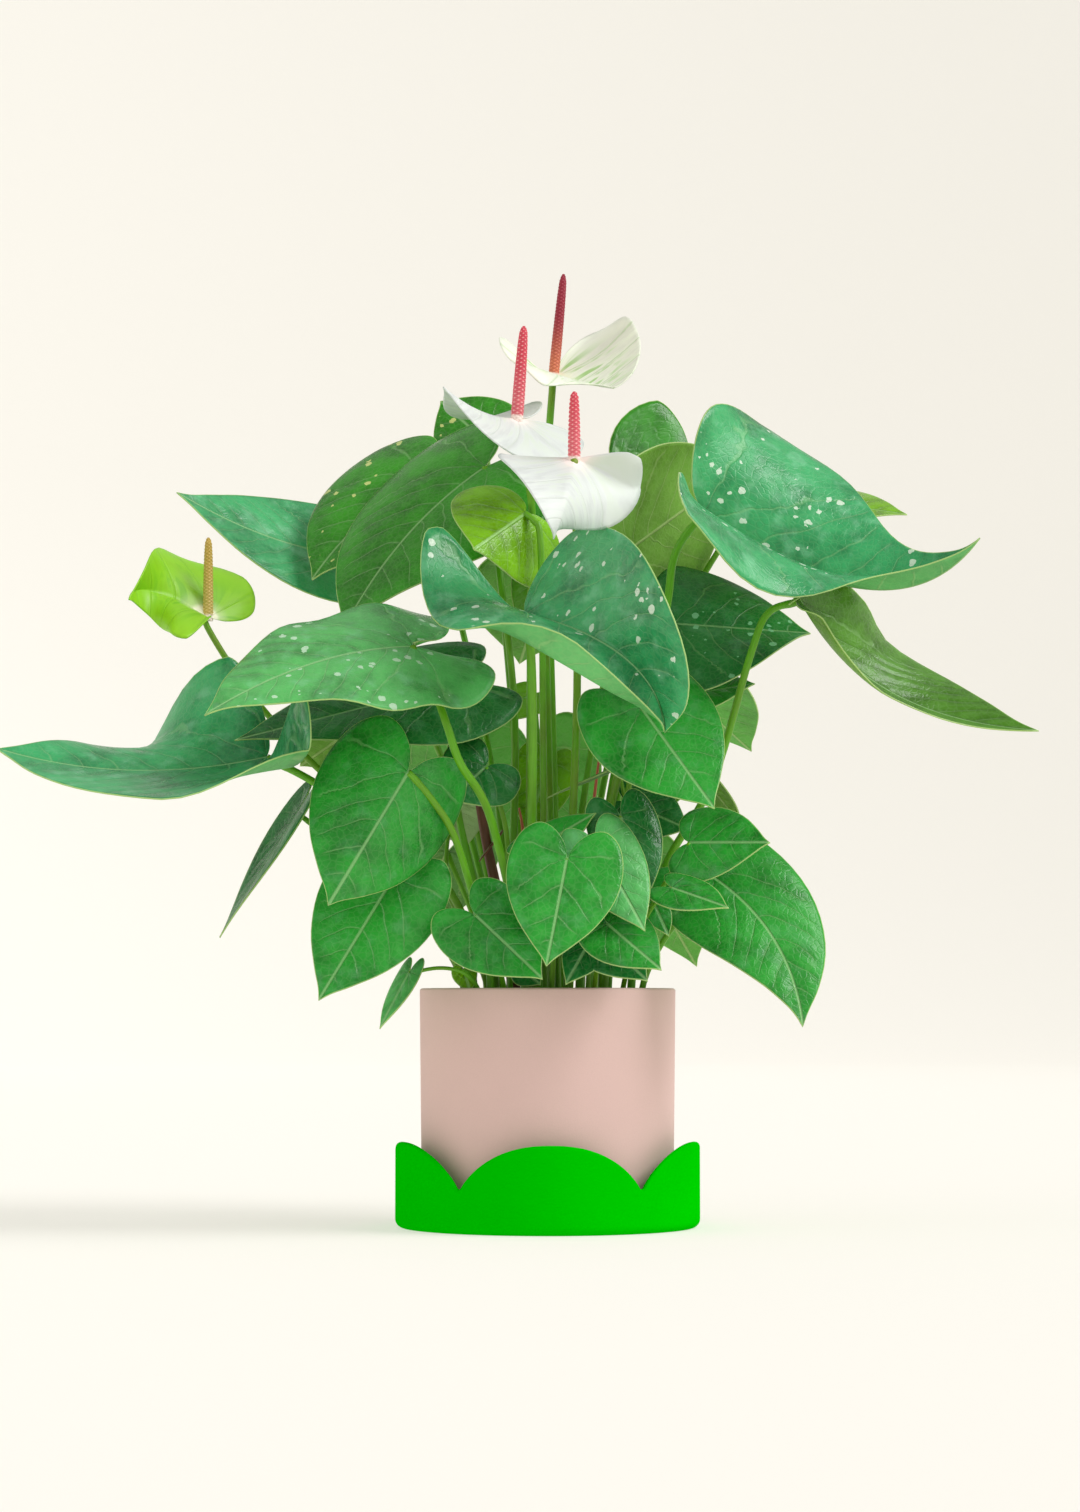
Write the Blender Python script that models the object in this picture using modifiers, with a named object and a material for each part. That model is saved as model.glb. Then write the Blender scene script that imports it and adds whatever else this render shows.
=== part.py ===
"""A potted flamingo flower: lobed saucer, straight pot, soil, and a plant of heart-shaped leaves
with four blooms. X is to the right, Y is away from the front, Z is up, and the origin is at the
middle of the saucer's underside. Sizes in the tables are in millimetres, the scene is in metres."""

from dataclasses import dataclass

import bmesh
import bpy
import numpy as np
from mathutils import Matrix, Vector

MM = 0.001
GAP = 0.3
WELD = 0.00001

# Saucer: a turned dish whose wall ends in five round lobes
SAUCER_RADIUS = 90.0
SAUCER_WALL = 3.0
SAUCER_CORNER = 5.0
LOBES = 5
LOBE_TOP = 51.0
NOTCH_TOP = 23.5
LOBE_STEPS = 10
SAUCER_TURN = 1.1

# Pot: a straight cylinder that widens a little to the rim
POT_BASE_RADIUS = 74.2
POT_RIM_RADIUS = 75.8
POT_FOOT = SAUCER_WALL + GAP
POT_TOP = 140.5
POT_WALL = 5.5
POT_FLOOR = 7.0
POT_EDGE = 1.6
POT_SIDES = 36
DRAIN_RADIUS = 6.0

# Soil: fills the pot to a little under the rim, with a plain hole for each stem
SOIL_FOOT = POT_FOOT + POT_FLOOR + GAP
SOIL_TOP = 126.0
SOIL_SIDES = 36
ROOT_DEPTH = 12.0
COLLAR = 2.0
HOLE_SIDES = 6

# Leaves
BLADE_THICKNESS = 0.8
STALK_SWELL = 1.1
STALK_NARROW = 0.9
THICK_STALK = 2.1
LOBE_REACH = 0.27

# Half outline of a heart-shaped blade: distance along the midrib, as a share of its length, and
# half width, as a share of the greatest. It runs from the sinus round the lobe to the tip.
HALF_OUTLINE = np.array([
    (0.00, 0.00), (-0.14, 0.12), (-0.25, 0.36), (-0.27, 0.62), (-0.15, 0.88), (0.08, 1.00),
    (0.34, 0.94), (0.60, 0.69), (0.80, 0.36), (0.92, 0.12), (1.00, 0.00),
])

# Colour and roughness of each finish
FINISHES = {
    "saucer_green": ("#00B400", 0.35),
    "pot_pink": ("#DEB8AC", 0.85),
    "soil_dark": ("#3A2A1E", 0.95),
    "leaf_green": ("#2F9440", 0.45),
    "leaf_bluish": ("#34965A", 0.45),
    "leaf_deep": ("#2A7A1A", 0.35),
    "leaf_dark": ("#1F6B32", 0.45),
    "leaf_light": ("#5CAE5A", 0.45),
    "leaf_lime": ("#86B81A", 0.45),
    "leaf_olive": ("#5C8A2A", 0.50),
    "leaf_pale": ("#B9D3A4", 0.50),
    "stalk_green": ("#5E9A1E", 0.45),
    "stem_brown": ("#6A4030", 0.60),
    "stem_coral": ("#D2604A", 0.50),
    "spathe_white": ("#F0F4F2", 0.45),
    "spathe_green_white": ("#DCE8CC", 0.45),
    "spathe_lime": ("#96CD3C", 0.40),
    "spadix_red": ("#B4444A", 0.60),
    "spadix_pink": ("#E0696E", 0.60),
    "spadix_mustard": ("#C8AA50", 0.70),
}


@dataclass
class Leaf:
    """One blade and its stalk. joint is where they meet, tip is the blade's tip, and face is the
    way its upper side looks. Pairs give the half on the left and on the right of the midrib, seen
    from above and looking to the tip. Angles are in degrees, and up is positive."""

    name: str
    joint: tuple
    tip: tuple
    face: tuple
    width: float
    root: tuple = None          # where the stalk enters the soil
    via: tuple = ()             # points that the stalk passes
    stem: float = 1.6           # radius of the stalk
    bend: tuple = (0, 0, 0)     # how far the midrib's middle is off the straight line
    twist: float = 0.0          # turn of the blade round its midrib, at the tip
    fold: tuple = (8, 8)        # slope of each half at the midrib
    curl: tuple = (-25, -25)    # change of that slope out to the margin
    roll: tuple = (0, 0)        # more curl towards the tip
    hem: tuple = (0, 0)         # turn of the margin alone
    lift: tuple = (0, 0)        # rise of each back lobe
    lobe: tuple = (1, 1)        # length of each back lobe, against the plain outline
    taper: float = 0.0          # narrowing towards the tip
    wave: float = 0.0           # height of the margin's waves
    tone: str = "leaf_green"
    shoot: str = None           # the leafy stem that it is part of, if any


# The leaves, from the left of the plant to the right, high ones first, then the back ones.
# Leaves of one shoot are together, and the first of them has the stalk that the others leave.
LEAVES = [
    Leaf("leaf_left_high", (-129, 103, 412), (-228, 55, 445), (-0.1, -0.8, 0.6), 92,
         root=(-30, 16), bend=(0, 0, -6), twist=-18, curl=(-15, -15), stem=2.0,
         tone="leaf_bluish"),
    Leaf("leaf_left_glossy", (-77, 80, 458), (-144, 49, 390), (-0.45, -0.8, 0.5), 112,
         root=(-20, 22), bend=(-4, 0, 4), curl=(-30, -30), stem=2.0, tone="leaf_deep"),
    Leaf("leaf_top_glossy", (-38, 38, 458), (-122, -8, 352), (-0.5, -0.75, 0.45), 132,
         root=(-22, -3), via=((-20, -1, 310),), bend=(-6, 0, 6), curl=(-35, -35),
         lobe=(0.85, 0.85), stem=2.3, tone="leaf_deep"),
    Leaf("leaf_top_left_back", (-39, 105, 485), (-68, 132, 515), (-0.2, -0.9, 0.35), 60,
         root=(-14, 38), stem=1.8, tone="leaf_deep"),
    Leaf("leaf_top_lime", (-13, -30, 420), (-43, -64, 394), (-0.35, -0.93, 0.2), 88,
         root=(-2, -14), via=((-3, -34, 330), (-4, -38, 398), (-7, -36, 413)),
         fold=(-40, 5), curl=(-40, -15), stem=2.0, tone="leaf_lime"),
    Leaf("leaf_centre_back", (1, 5, 397), (-14, -3, 350), (-0.3, -0.93, 0.15), 42,
         root=(6, -3), lobe=(0.4, 0.4), tone="leaf_olive"),
    Leaf("leaf_centre", (-13, -86, 354), (65, -135, 282), (0.44, -0.66, 0.17), 124,
         root=(-6, -26), via=((-9, -50, 235), (-9, -80, 320)), bend=(18, -41, 3), twist=-40,
         fold=(56, 29), curl=(0, -75), roll=(-8, 10), lift=(-1, 38), lobe=(0.43, 1.7),
         taper=0.08, hem=(0, 130), stem=2.8, tone="leaf_bluish"),
    Leaf("leaf_far_left", (-163, -55, 274), (-316, -81, 277), (1.38, 0.33, 1.02), 142,
         root=(-36, -12), via=((-63, -26, 205), (-120, -47, 250)), bend=(0, -11, -11), twist=36,
         fold=(-4, 26), curl=(55, 39), roll=(-53, -95), lift=(45, 0), lobe=(0.2, 0.25),
         taper=-0.28, stem=2.4, tone="leaf_bluish"),
    Leaf("leaf_left_middle", (-78, -78, 336), (-191, -143, 291), (0, -0.65, 0.75), 116,
         root=(-14, -36), via=((-33, -72, 238), (-50, -96, 268), (-57, -98, 288), (-65, -91, 310)),
         stem=2.4, bend=(0, 0, 9), twist=-10, curl=(-30, -30), wave=3, tone="leaf_light"),
    Leaf("leaf_left_under", (-60, -21, 318), (-181, -65, 283), (0, -0.68, 0.72), 98,
         taper=0.35,
         root=(-32, -20), via=((-52, -26, 240),), stem=2.2, tone="leaf_dark"),
    Leaf("leaf_left_olive", (-121, 5, 292), (-149, 20, 274), (0, 0.8, 0.6), 44,
         root=(-42, 6), tone="leaf_olive", shoot="shoot_left_back"),
    Leaf("leaf_pale_back", (-56, 2, 251), (-48, 10, 225), (0, 0.85, 0.5), 40,
         stem=1.3, tone="leaf_pale", shoot="shoot_left_back"),
    Leaf("leaf_left_heart", (-79, -105, 262), (-123, -125, 186), (-0.05, -0.93, 0.4), 100,
         root=(-34, -42), via=((-54, -80, 228),), stem=2.2, fold=(-45, 2), curl=(-25, -20)),
    Leaf("leaf_left_low", (-89, -70, 203), (-130, -95, 133), (0, -0.95, 0.3), 72,
         root=(-46, -32), stem=2.0),
    Leaf("leaf_left_hanging", (-148, -12, 244), (-192, -30, 170), (-0.85, -0.2, 0.4), 38,
         root=(-48, -4), curl=(-30, 30), tone="leaf_dark"),
    Leaf("leaf_small_round", (-36, -46, 269), (-57, -60, 248), (0.15, -0.9, 0.4), 50,
         root=(-22, -28), via=((-24, -40, 230),), lobe=(1.3, 1.3), tone="leaf_dark"),
    Leaf("leaf_lime_middle", (-8, 45, 320), (-44, 24, 300), (-0.2, -0.7, 0.7), 36,
         root=(2, 18), lobe=(0.5, 0.5), tone="leaf_lime", shoot="shoot_lime"),
    Leaf("leaf_lime_low", (-1, 34, 276), (-12, 26, 232), (0, -0.95, 0.3), 40,
         stem=1.3, tone="leaf_lime", shoot="shoot_lime"),
    Leaf("leaf_right_high", (92, -35, 417), (248, -87, 398), (-0.49, -0.68, 0.68), 193,
         root=(20, -15), via=((45, -33, 280), (68, -33, 355), (74, -33, 392), (83, -34, 409)),
         bend=(18, 10, -35), twist=7, fold=(24, 73), curl=(-75, -28), roll=(23, -87),
         lift=(15, 19), lobe=(0.76, 0.44), taper=0.54, stem=2.5, tone="leaf_bluish"),
    Leaf("leaf_right_back_lobe", (89, 104, 463), (83, 98, 423), (0.15, -0.81, 0.4), 110,
         root=(20, 26), bend=(-5, -2, 8), fold=(8, 8), curl=(-25, 7), lobe=(1, 0.9),
         taper=0.1, stem=2.0, tone="leaf_deep"),
    Leaf("leaf_right_under", (51, 25, 407), (123, 80, 466), (-0.1, 0.8, 0.55), 112,
         root=(12, 10), stem=2.0, tone="leaf_olive"),
    Leaf("leaf_right_behind", (137, 55, 443), (218, 25, 427), (0, -0.45, 0.9), 84,
         root=(36, 18), via=((40, 30, 250), (70, 62, 340), (105, 72, 410)), stem=2.0,
         tone="leaf_lime"),
    Leaf("leaf_right_middle", (76, 12, 359), (158, 10, 353), (0, -0.8, 0.6), 108,
         root=(26, 2), via=((40, 22, 270), (60, 26, 330)), twist=20, lobe=(0.6, 0.6), stem=2.0,
         tone="leaf_dark"),
    Leaf("leaf_far_right", (149, -30, 368), (290, -21, 292), (0.53, 0.57, 0.25), 63,
         root=(50, -12), via=((68, -26, 210), (97, -30, 262), (119, -31, 335), (130, -30, 361)),
         bend=(-13, 28, -14), twist=-40, fold=(85, -45), curl=(74, 30), roll=(-95, -22),
         lift=(-26, -6), lobe=(0.2, 0.24), taper=-0.89, stem=2.3, tone="leaf_olive"),
    Leaf("leaf_right_centre", (54, -62, 302), (95, -90, 242), (0.05, -0.9, 0.42), 80,
         root=(34, -28), via=((42, -30, 230), (50, -38, 270)), lobe=(1.2, 1.2), stem=1.8),
    Leaf("leaf_right_small", (82, -62, 224), (127, -85, 223), (0, -0.88, 0.45), 52,
         root=(44, -32), via=((56, -56, 180),), lobe=(0.7, 0.7), stem=1.5,
         shoot="shoot_right"),
    Leaf("leaf_right_tiny", (71, -85, 197), (102, -108, 185), (0.05, -0.75, 0.65), 30,
         stem=1.1, shoot="shoot_right"),
    Leaf("leaf_right_sliver", (62, -54, 188), (70, -59, 170), (0, -0.85, 0.5), 16,
         stem=1.1, shoot="shoot_right"),
    Leaf("leaf_right_low", (96, -42, 205), (145, -85, 118), (0.2, -0.93, 0.3), 80,
         root=(54, -24), bend=(10, 0, 6), stem=1.8),
    Leaf("leaf_right_back_small", (89, 12, 317), (124, 2, 322), (0, -0.6, 0.8), 38,
         root=(36, 5), shoot="shoot_right_back"),
    Leaf("leaf_edge_on", (42, -10, 272), (-1, -22, 252), (0, 0.12, 0.99), 20,
         stem=1.2, shoot="shoot_right_back", tone="leaf_dark"),
    Leaf("leaf_right_pale", (95, 0, 263), (116, 5, 238), (0.6, 0.45, 0.6), 26,
         stem=1.2, shoot="shoot_right_back", tone="leaf_olive"),
    Leaf("leaf_behind_dark", (47, -4, 251), (84, -10, 234), (0.1, -0.9, 0.45), 46,
         stem=1.2, shoot="shoot_right_back", tone="leaf_dark"),
    Leaf("leaf_right_point", (126, -14, 223), (151, -16, 201), (0.2, -0.1, 0.97), 20,
         stem=1.2, shoot="shoot_right_back", tone="leaf_dark"),
    Leaf("leaf_front_heart", (11, -98, 214), (-1, -122, 152), (0, -0.93, 0.37), 66,
         root=(2, -50), curl=(-15, -15)),
    Leaf("leaf_front_pale", (28, -80, 223), (55, -100, 172), (0.1, -0.92, 0.38), 46,
         root=(13, -46), stem=1.4, lobe=(0.9, 0.9), tone="leaf_light"),
    Leaf("leaf_front_dark", (42, -58, 240), (58, -72, 192), (0.15, -0.9, 0.42), 44,
         root=(23, -40), stem=1.4, tone="leaf_dark"),
    Leaf("leaf_front_top", (-10, -66, 219), (28, -66, 241), (0, -0.75, 0.66), 30,
         root=(-8, -46), stem=1.4, shoot="shoot_front"),
    Leaf("leaf_low_dark", (-14, -50, 150), (-4, -58, 142), (0, -0.9, 0.4), 18,
         stem=1.1, shoot="shoot_front", tone="leaf_dark"),
    Leaf("leaf_low_left", (-42, -84, 182), (-3, -102, 145), (0.05, -0.92, 0.4), 58,
         root=(-24, -50), stem=1.5),
    Leaf("leaf_low_right", (34, -90, 176), (64, -108, 150), (0.1, -0.9, 0.45), 42,
         root=(26, -51), stem=1.4, shoot="shoot_low_right"),
    Leaf("leaf_low_right_under", (29, -70, 170), (57, -84, 144), (0.1, -0.9, 0.45), 38,
         stem=1.1, shoot="shoot_low_right", tone="leaf_dark"),
    Leaf("leaf_low_small", (26, -72, 170), (10, -84, 142), (0, -0.9, 0.4), 28,
         stem=1.1, shoot="shoot_low_right", tone="leaf_dark"),
    Leaf("leaf_rim", (-80, -62, 149), (-96, -78, 117), (-0.6, -0.75, 0.3), 18,
         root=(-38, -48), via=((-42, -51, 143), (-56, -57, 152)), stem=1.2,
         shoot="shoot_low_left", tone="leaf_light"),
    Leaf("leaf_low_lime", (-49, -42, 151), (-45, -45, 138), (0, -0.9, 0.4), 15,
         stem=1.1, shoot="shoot_low_left", tone="leaf_lime"),
    Leaf("leaf_back_top", (2, 116, 404), (-18, 207, 354), (0, 0.4, 0.9), 96,
         lobe=(0.6, 0.6),
         root=(0, 42), stem=2.0, tone="leaf_deep"),
    Leaf("leaf_back_left", (-66, 105, 318), (-146, 185, 268), (-0.2, 0.45, 0.87), 100,
         root=(-28, 32), lobe=(0.6, 0.6), stem=2.0),
    Leaf("leaf_back_right", (68, 108, 345), (133, 188, 295), (0.25, 0.4, 0.87), 100,
         root=(32, 32), lobe=(0.6, 0.6), stem=2.0),
    Leaf("leaf_back_middle", (-10, 105, 290), (-5, 185, 215), (0, 0.6, 0.8), 88,
         root=(10, 48), stem=2.0),
    Leaf("leaf_back_low_left", (-62, 82, 225), (-105, 140, 160), (-0.3, 0.7, 0.6), 72,
         root=(-34, 42), stem=1.7, tone="leaf_dark"),
    Leaf("leaf_back_low_right", (55, 85, 220), (95, 142, 155), (0.3, 0.7, 0.6), 72,
         root=(28, 44), stem=1.7),
]


@dataclass
class Bloom:
    """A spathe, its spadix and its stalk. seat is where the spadix stands on the spathe, and
    spadix is its top. The stalk comes up to the seat along the spadix's own line."""

    name: str
    seat: tuple
    spadix: tuple
    spathe: Leaf
    root: tuple
    via: tuple = ()
    stem: float = 2.3
    thick: float = 3.4          # radius of the spadix
    tone: str = "spadix_pink"


BLOOMS = [
    Bloom("bloom_top", (4, 44, 517), (10, 41, 578),
          Leaf("spathe_top", (5, 42, 514), (40, 16, 503), (-0.27, -0.61, 0.7), 119,
               bend=(9, 0, -2), twist=-10, fold=(-7, 49), curl=(0, -14), roll=(44, -10),
               lift=(1, 18), lobe=(0.45, 1.78), taper=0, tone="spathe_green_white"),
          root=(4, 6), stem=2.4, thick=3.2, tone="spadix_red"),
    Bloom("bloom_left", (-18, -27, 479), (-14, -30, 532),
          Leaf("spathe_left", (-18, -27, 477), (-61, -62, 490), (0.1, -0.2, 0.97), 84,
               bend=(0, 0, -5), fold=(-28, -8), curl=(-10, 5), lift=(0, 10), lobe=(2.2, 2.2),
               tone="spathe_white"),
          root=(-11, -5), via=((-10, -11, 330), (-10, -10, 376), (-9, -19, 424)), thick=3.7),
    Bloom("bloom_front", (15, -106, 442), (15, -109, 479),
          Leaf("spathe_front", (15, -106, 441), (3, -140, 390), (0.69, -0.25, 0.58), 87,
               bend=(1, -13, -2), twist=40, fold=(20, -51), curl=(4, 10), roll=(-39, 5),
               lift=(18, -4), lobe=(0.2, 0.21), taper=0.28, tone="spathe_white"),
          root=(12, -29), via=((17, -34, 300), (17, -44, 392)), thick=3.5),
    Bloom("bloom_lime", (-201, -20, 361), (-201, -21, 407),
          Leaf("spathe_lime", (-201, -22, 359), (-243, -62, 365), (0.33, 0.01, 0.12), 106,
               bend=(-12, 9, 12), twist=-2, fold=(2, 59), curl=(-50, -35), roll=(16, -70),
               lift=(4, -5), lobe=(0.2, 1.21), taper=0.52, tone="spathe_lime"),
          root=(-40, 24), via=((-110, 10, 245), (-165, -8, 300)), stem=2.0, thick=3.0,
          tone="spadix_mustard"),
]
SPADIX_CLEAR = 0.4


@dataclass
class Stem:
    """A stem or shoot with no blade of its own: its path, and its radius at the foot and top."""

    name: str
    root: tuple
    path: tuple
    radii: tuple
    tone: str


STEMS = [
    Stem("main_stem", (-20, -16), ((-27, -16, 185), (-34, -16, 215), (-42, -16, 262),
                                   (-47, -16, 303)), (4.6, 2.2), "stem_brown"),
    Stem("shoot_coral_long", (19, 7), ((26, 4, 237), (32, 4, 287)), (3.0, 0.5), "stem_coral"),
    Stem("shoot_coral_short", (-12, 7), ((-14, 6, 226), (-17, 4, 248)), (2.8, 0.5), "stem_coral"),
]
BRACT = Leaf("bract", (-31, -18, 228), (-40, -40, 214), (-0.6, 0.2, 0.8), 12, tone="stem_brown")


# Formulas
def unit(vectors):
    """Each vector at length one."""
    vectors = np.asarray(vectors, float)
    return vectors / np.linalg.norm(vectors, axis=-1, keepdims=True)


def smooth(x):
    """A soft step from 0 to 1 as x goes from 0 to 1."""
    x = np.clip(x, 0, 1)
    return x * x * (3 - 2 * x)


def spline(points, places):
    """A Catmull-Rom curve through the points, read at places from 0 to 1."""
    points = np.asarray(points, float)
    ends = np.vstack([2 * points[0] - points[1], points, 2 * points[-1] - points[-2]])
    last = len(points) - 1
    x = np.clip(np.asarray(places, float) * last, 0, last - 1e-9)
    i = x.astype(int)
    t = (x - i)[:, None]
    a, b, c, d = ends[i], ends[i + 1], ends[i + 2], ends[i + 3]
    cubic = -a + 3 * b - 3 * c + d
    return 0.5 * (2 * b + (c - a) * t + (2 * a - 5 * b + 4 * c - d) * t**2 + cubic * t**3)


def flat_blade(leaf, rows, columns):
    """Leaf coordinates of a grid on the flat blade: share of the length, share of the half width,
    and place across from -1 at the right margin to 1 at the left one."""
    place = np.linspace(0, 1, rows + 1)
    margin = spline(HALF_OUTLINE, place)
    across = np.linspace(-1, 1, columns + 1)
    reach = np.where(across > 0, leaf.lobe[0], leaf.lobe[1])[None, :]
    edge_along = margin[:, 0, None]
    edge_along = np.where(edge_along < 0, edge_along * reach, edge_along)
    edge_out = margin[:, 1] * (1 - leaf.taper * smooth(margin[:, 0] * 1.4))
    midrib = (place**1.7)[:, None]
    along = midrib + (edge_along - midrib) * np.abs(across)[None, :] ** 1.15
    out = edge_out[:, None] * across[None, :]
    return along, out, np.broadcast_to(across, along.shape)


def blade_points(leaf, rows, columns):
    """The blade's middle surface. The midrib is a quadratic Bezier curve, and each half leaves it
    at the fold angle and turns by the curl, roll and hem angles on the way to the margin."""
    joint = np.array(leaf.joint, float)
    tip = np.array(leaf.tip, float)
    knee = (joint + tip) / 2 + 2 * np.array(leaf.bend, float)
    along, out, across = flat_blade(leaf, rows, columns)
    left = out > 0

    def side(pair):
        return np.where(left, pair[0], pair[1])

    s = along[..., None]
    t = np.clip(s, 0, 1)
    midrib = (1 - t) ** 2 * joint + 2 * t * (1 - t) * knee + t**2 * tip
    midrib = midrib + np.minimum(s, 0) * np.linalg.norm(tip - joint) * unit(knee - joint)
    tangent = unit((1 - t) * (knee - joint) + t * (tip - knee))
    face = unit(leaf.face)
    up = unit(face - np.sum(face * tangent, -1, keepdims=True) * tangent)
    leftward = np.cross(up, tangent)
    turn = np.radians(leaf.twist) * t
    up, leftward = (up * np.cos(turn) + leftward * np.sin(turn),
                    leftward * np.cos(turn) - up * np.sin(turn))

    grown = smooth((along + 0.05) / 0.5)
    bending = np.radians(side(leaf.curl) + side(leaf.roll) * grown)[..., None]
    hem = np.radians(side(leaf.hem) * grown)[..., None]
    part = (np.arange(10) + 0.5) / 10
    slope = np.radians(side(leaf.fold))[..., None] + bending * np.abs(out)[..., None] * part
    slope = slope + hem * smooth((np.abs(across)[..., None] * part - 0.5) / 0.3)
    sideways = np.mean(np.cos(slope), -1) * out * leaf.width / 2
    height = np.mean(np.sin(slope), -1) * np.abs(out) * leaf.width / 2

    back = np.clip(-along / (LOBE_REACH * side(leaf.lobe)), 0, 1)
    height = height + side(leaf.lift) * np.abs(across) * back**2
    ripple = np.sin(2 * np.pi * 2.2 * np.clip(along, -0.3, 1) + np.where(left, 0, 1.7))
    height = height + leaf.wave * np.abs(across) ** 3 * ripple * np.sqrt(np.clip(1 - along, 0, 1))
    return midrib + leftward * sideways[..., None] + up * height[..., None]


def bezier(start, first, second, end, count):
    """Points along a cubic Bezier curve."""
    t = np.linspace(0, 1, count)[:, None]
    return ((1 - t) ** 3 * start + 3 * t * (1 - t) ** 2 * first + 3 * t**2 * (1 - t) * second
            + t**3 * end)


def stalk_path(root, end, via=(), count=7, arrival=None):
    """A stalk's middle line: straight up out of its hole, then a smooth curve to its end, through
    the via points or, with none, along one cubic Bezier curve."""
    foot = np.array([root[0], root[1], SOIL_TOP - ROOT_DEPTH])
    collar = np.array([root[0], root[1], SOIL_TOP + COLLAR])
    end = np.array(end, float)
    reach = end - collar
    rise = np.array([0, 0, 0.4 * reach[2]])
    if via:
        first = np.array(via[0], float)
        knee = collar + np.array([0, 0, 0.25 * (first[2] - collar[2])]) + 0.05 * (first - collar)
        knots = [collar, knee, *[np.array(point, float) for point in via], end]
        curve = spline(knots, np.linspace(0, 1, count))
    elif arrival is not None:
        last = end - np.array(arrival, float) * 0.3 * np.linalg.norm(reach)
        curve = bezier(collar, collar + rise, last, end, count)
    else:
        curve = bezier(collar, collar + rise, end - reach * np.array([0.35, 0.35, 0.25]), end, count)
    return np.vstack([foot, curve])


def branch_path(leader, end, count=6):
    """A side stalk: it leaves the leader's middle line at just over half its own height."""
    end = np.array(end, float)
    height = SOIL_TOP + 0.55 * (end[2] - SOIL_TOP)
    start = np.argmin(np.abs(leader[1:-1, 2] - height)) + 1
    ahead = unit(leader[start + 1] - leader[start - 1])
    reach = end - leader[start]
    first = leader[start] + ahead * 0.4 * np.linalg.norm(reach)
    return bezier(leader[start], first, end - reach * np.array([0.4, 0.4, 0.1]), end, count)


# Making the meshes
def clear_scene():
    for obj in list(bpy.data.objects):
        bpy.data.objects.remove(obj, do_unlink=True)


def new_collection(name):
    made = bpy.data.collections.new(name)
    bpy.context.scene.collection.children.link(made)
    return made


def linear(hex_colour):
    """An sRGB hex colour as linear red, green and blue."""
    channels = [int(hex_colour[i:i + 2], 16) / 255 for i in (1, 3, 5)]
    return [c / 12.92 if c <= 0.04045 else ((c + 0.055) / 1.055) ** 2.4 for c in channels]


def material(tone):
    """The finish of that name, made on its first use."""
    found = bpy.data.materials.get(tone)
    if found:
        return found
    colour, roughness = FINISHES[tone]
    made = bpy.data.materials.new(tone)
    made.use_nodes = True
    shader = made.node_tree.nodes["Principled BSDF"]
    shader.inputs["Base Color"].default_value = (*linear(colour), 1)
    shader.inputs["Roughness"].default_value = roughness
    shader.inputs["Metallic"].default_value = 0
    return made


def add_object(name, mesh, home, tone):
    made = bpy.data.objects.new(name, mesh)
    mesh.materials.clear()
    mesh.materials.append(material(tone))
    home.objects.link(made)
    return made


def evaluated_mesh(obj):
    """The object's mesh as its modifiers or its bevel make it."""
    bpy.context.view_layer.update()
    graph = bpy.context.evaluated_depsgraph_get()
    return bpy.data.meshes.new_from_object(obj.evaluated_get(graph))


def apply_modifiers(obj):
    mesh = evaluated_mesh(obj)
    obj.modifiers.clear()
    obj.data = mesh


def surface_mesh(name, points):
    """A grid moved to the given points, in millimetres, with the points that meet welded, and
    split into triangles so that both faces of the wall it becomes are split alike."""
    rows, columns = points.shape[0] - 1, points.shape[1] - 1
    bm = bmesh.new()
    bmesh.ops.create_grid(bm, x_segments=rows, y_segments=columns, size=1)
    for vert in bm.verts:
        row = round((vert.co.x + 1) / 2 * rows)
        column = round((vert.co.y + 1) / 2 * columns)
        vert.co = Vector(points[row, column]) * MM
    bmesh.ops.remove_doubles(bm, verts=bm.verts, dist=WELD)
    bmesh.ops.triangulate(bm, faces=bm.faces)
    mesh = bpy.data.meshes.new(name)
    bm.to_mesh(mesh)
    bm.free()
    return mesh


def thicken(obj, thickness, offset, even=False):
    wall = obj.modifiers.new("wall", "SOLIDIFY")
    wall.thickness = thickness * MM
    wall.offset = offset
    wall.use_even_offset = even
    apply_modifiers(obj)


def make_blade(leaf, home, rows, columns):
    obj = add_object(leaf.name, surface_mesh(leaf.name, blade_points(leaf, rows, columns)), home,
                     leaf.tone)
    thicken(obj, BLADE_THICKNESS, 0)
    return obj


def make_tube(name, path, radii, sides, home, tone):
    """A round bar along a path, of the given radius at each point, as a mesh with welded caps."""
    curve = bpy.data.curves.new(name, "CURVE")
    curve.dimensions = "3D"
    curve.bevel_depth = MM
    curve.bevel_resolution = (sides - 4) // 2
    curve.use_fill_caps = True
    line = curve.splines.new("POLY")
    line.points.add(len(path) - 1)
    for point, place, radius in zip(line.points, path, radii):
        point.co = (*(Vector(place) * MM), 1)
        point.radius = radius
    guide = bpy.data.objects.new(name, curve)
    home.objects.link(guide)
    bm = bmesh.new()
    bm.from_mesh(evaluated_mesh(guide))
    bpy.data.objects.remove(guide, do_unlink=True)
    bmesh.ops.remove_doubles(bm, verts=bm.verts, dist=WELD)
    mesh = bpy.data.meshes.new(name)
    bm.to_mesh(mesh)
    bm.free()
    return add_object(name, mesh, home, tone)


def combine(obj, others, operation):
    """Fuses the others with the object, or cuts them from it, by one Boolean, and removes them."""
    group = new_collection("operands")
    for other in others:
        for home in list(other.users_collection):
            home.objects.unlink(other)
        group.objects.link(other)
    boolean = obj.modifiers.new("combine", "BOOLEAN")
    boolean.operation = operation
    boolean.solver = "MANIFOLD"
    boolean.operand_type = "COLLECTION"
    boolean.collection = group
    apply_modifiers(obj)
    for other in others:
        bpy.data.objects.remove(other, do_unlink=True)
    bpy.data.collections.remove(group)


def shade(obj, angle=40):
    """Smooth faces, with an edge kept where the surface turns sharply."""
    obj.data.shade_smooth()
    obj.data.set_sharp_from_angle(angle=np.radians(angle))


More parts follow.
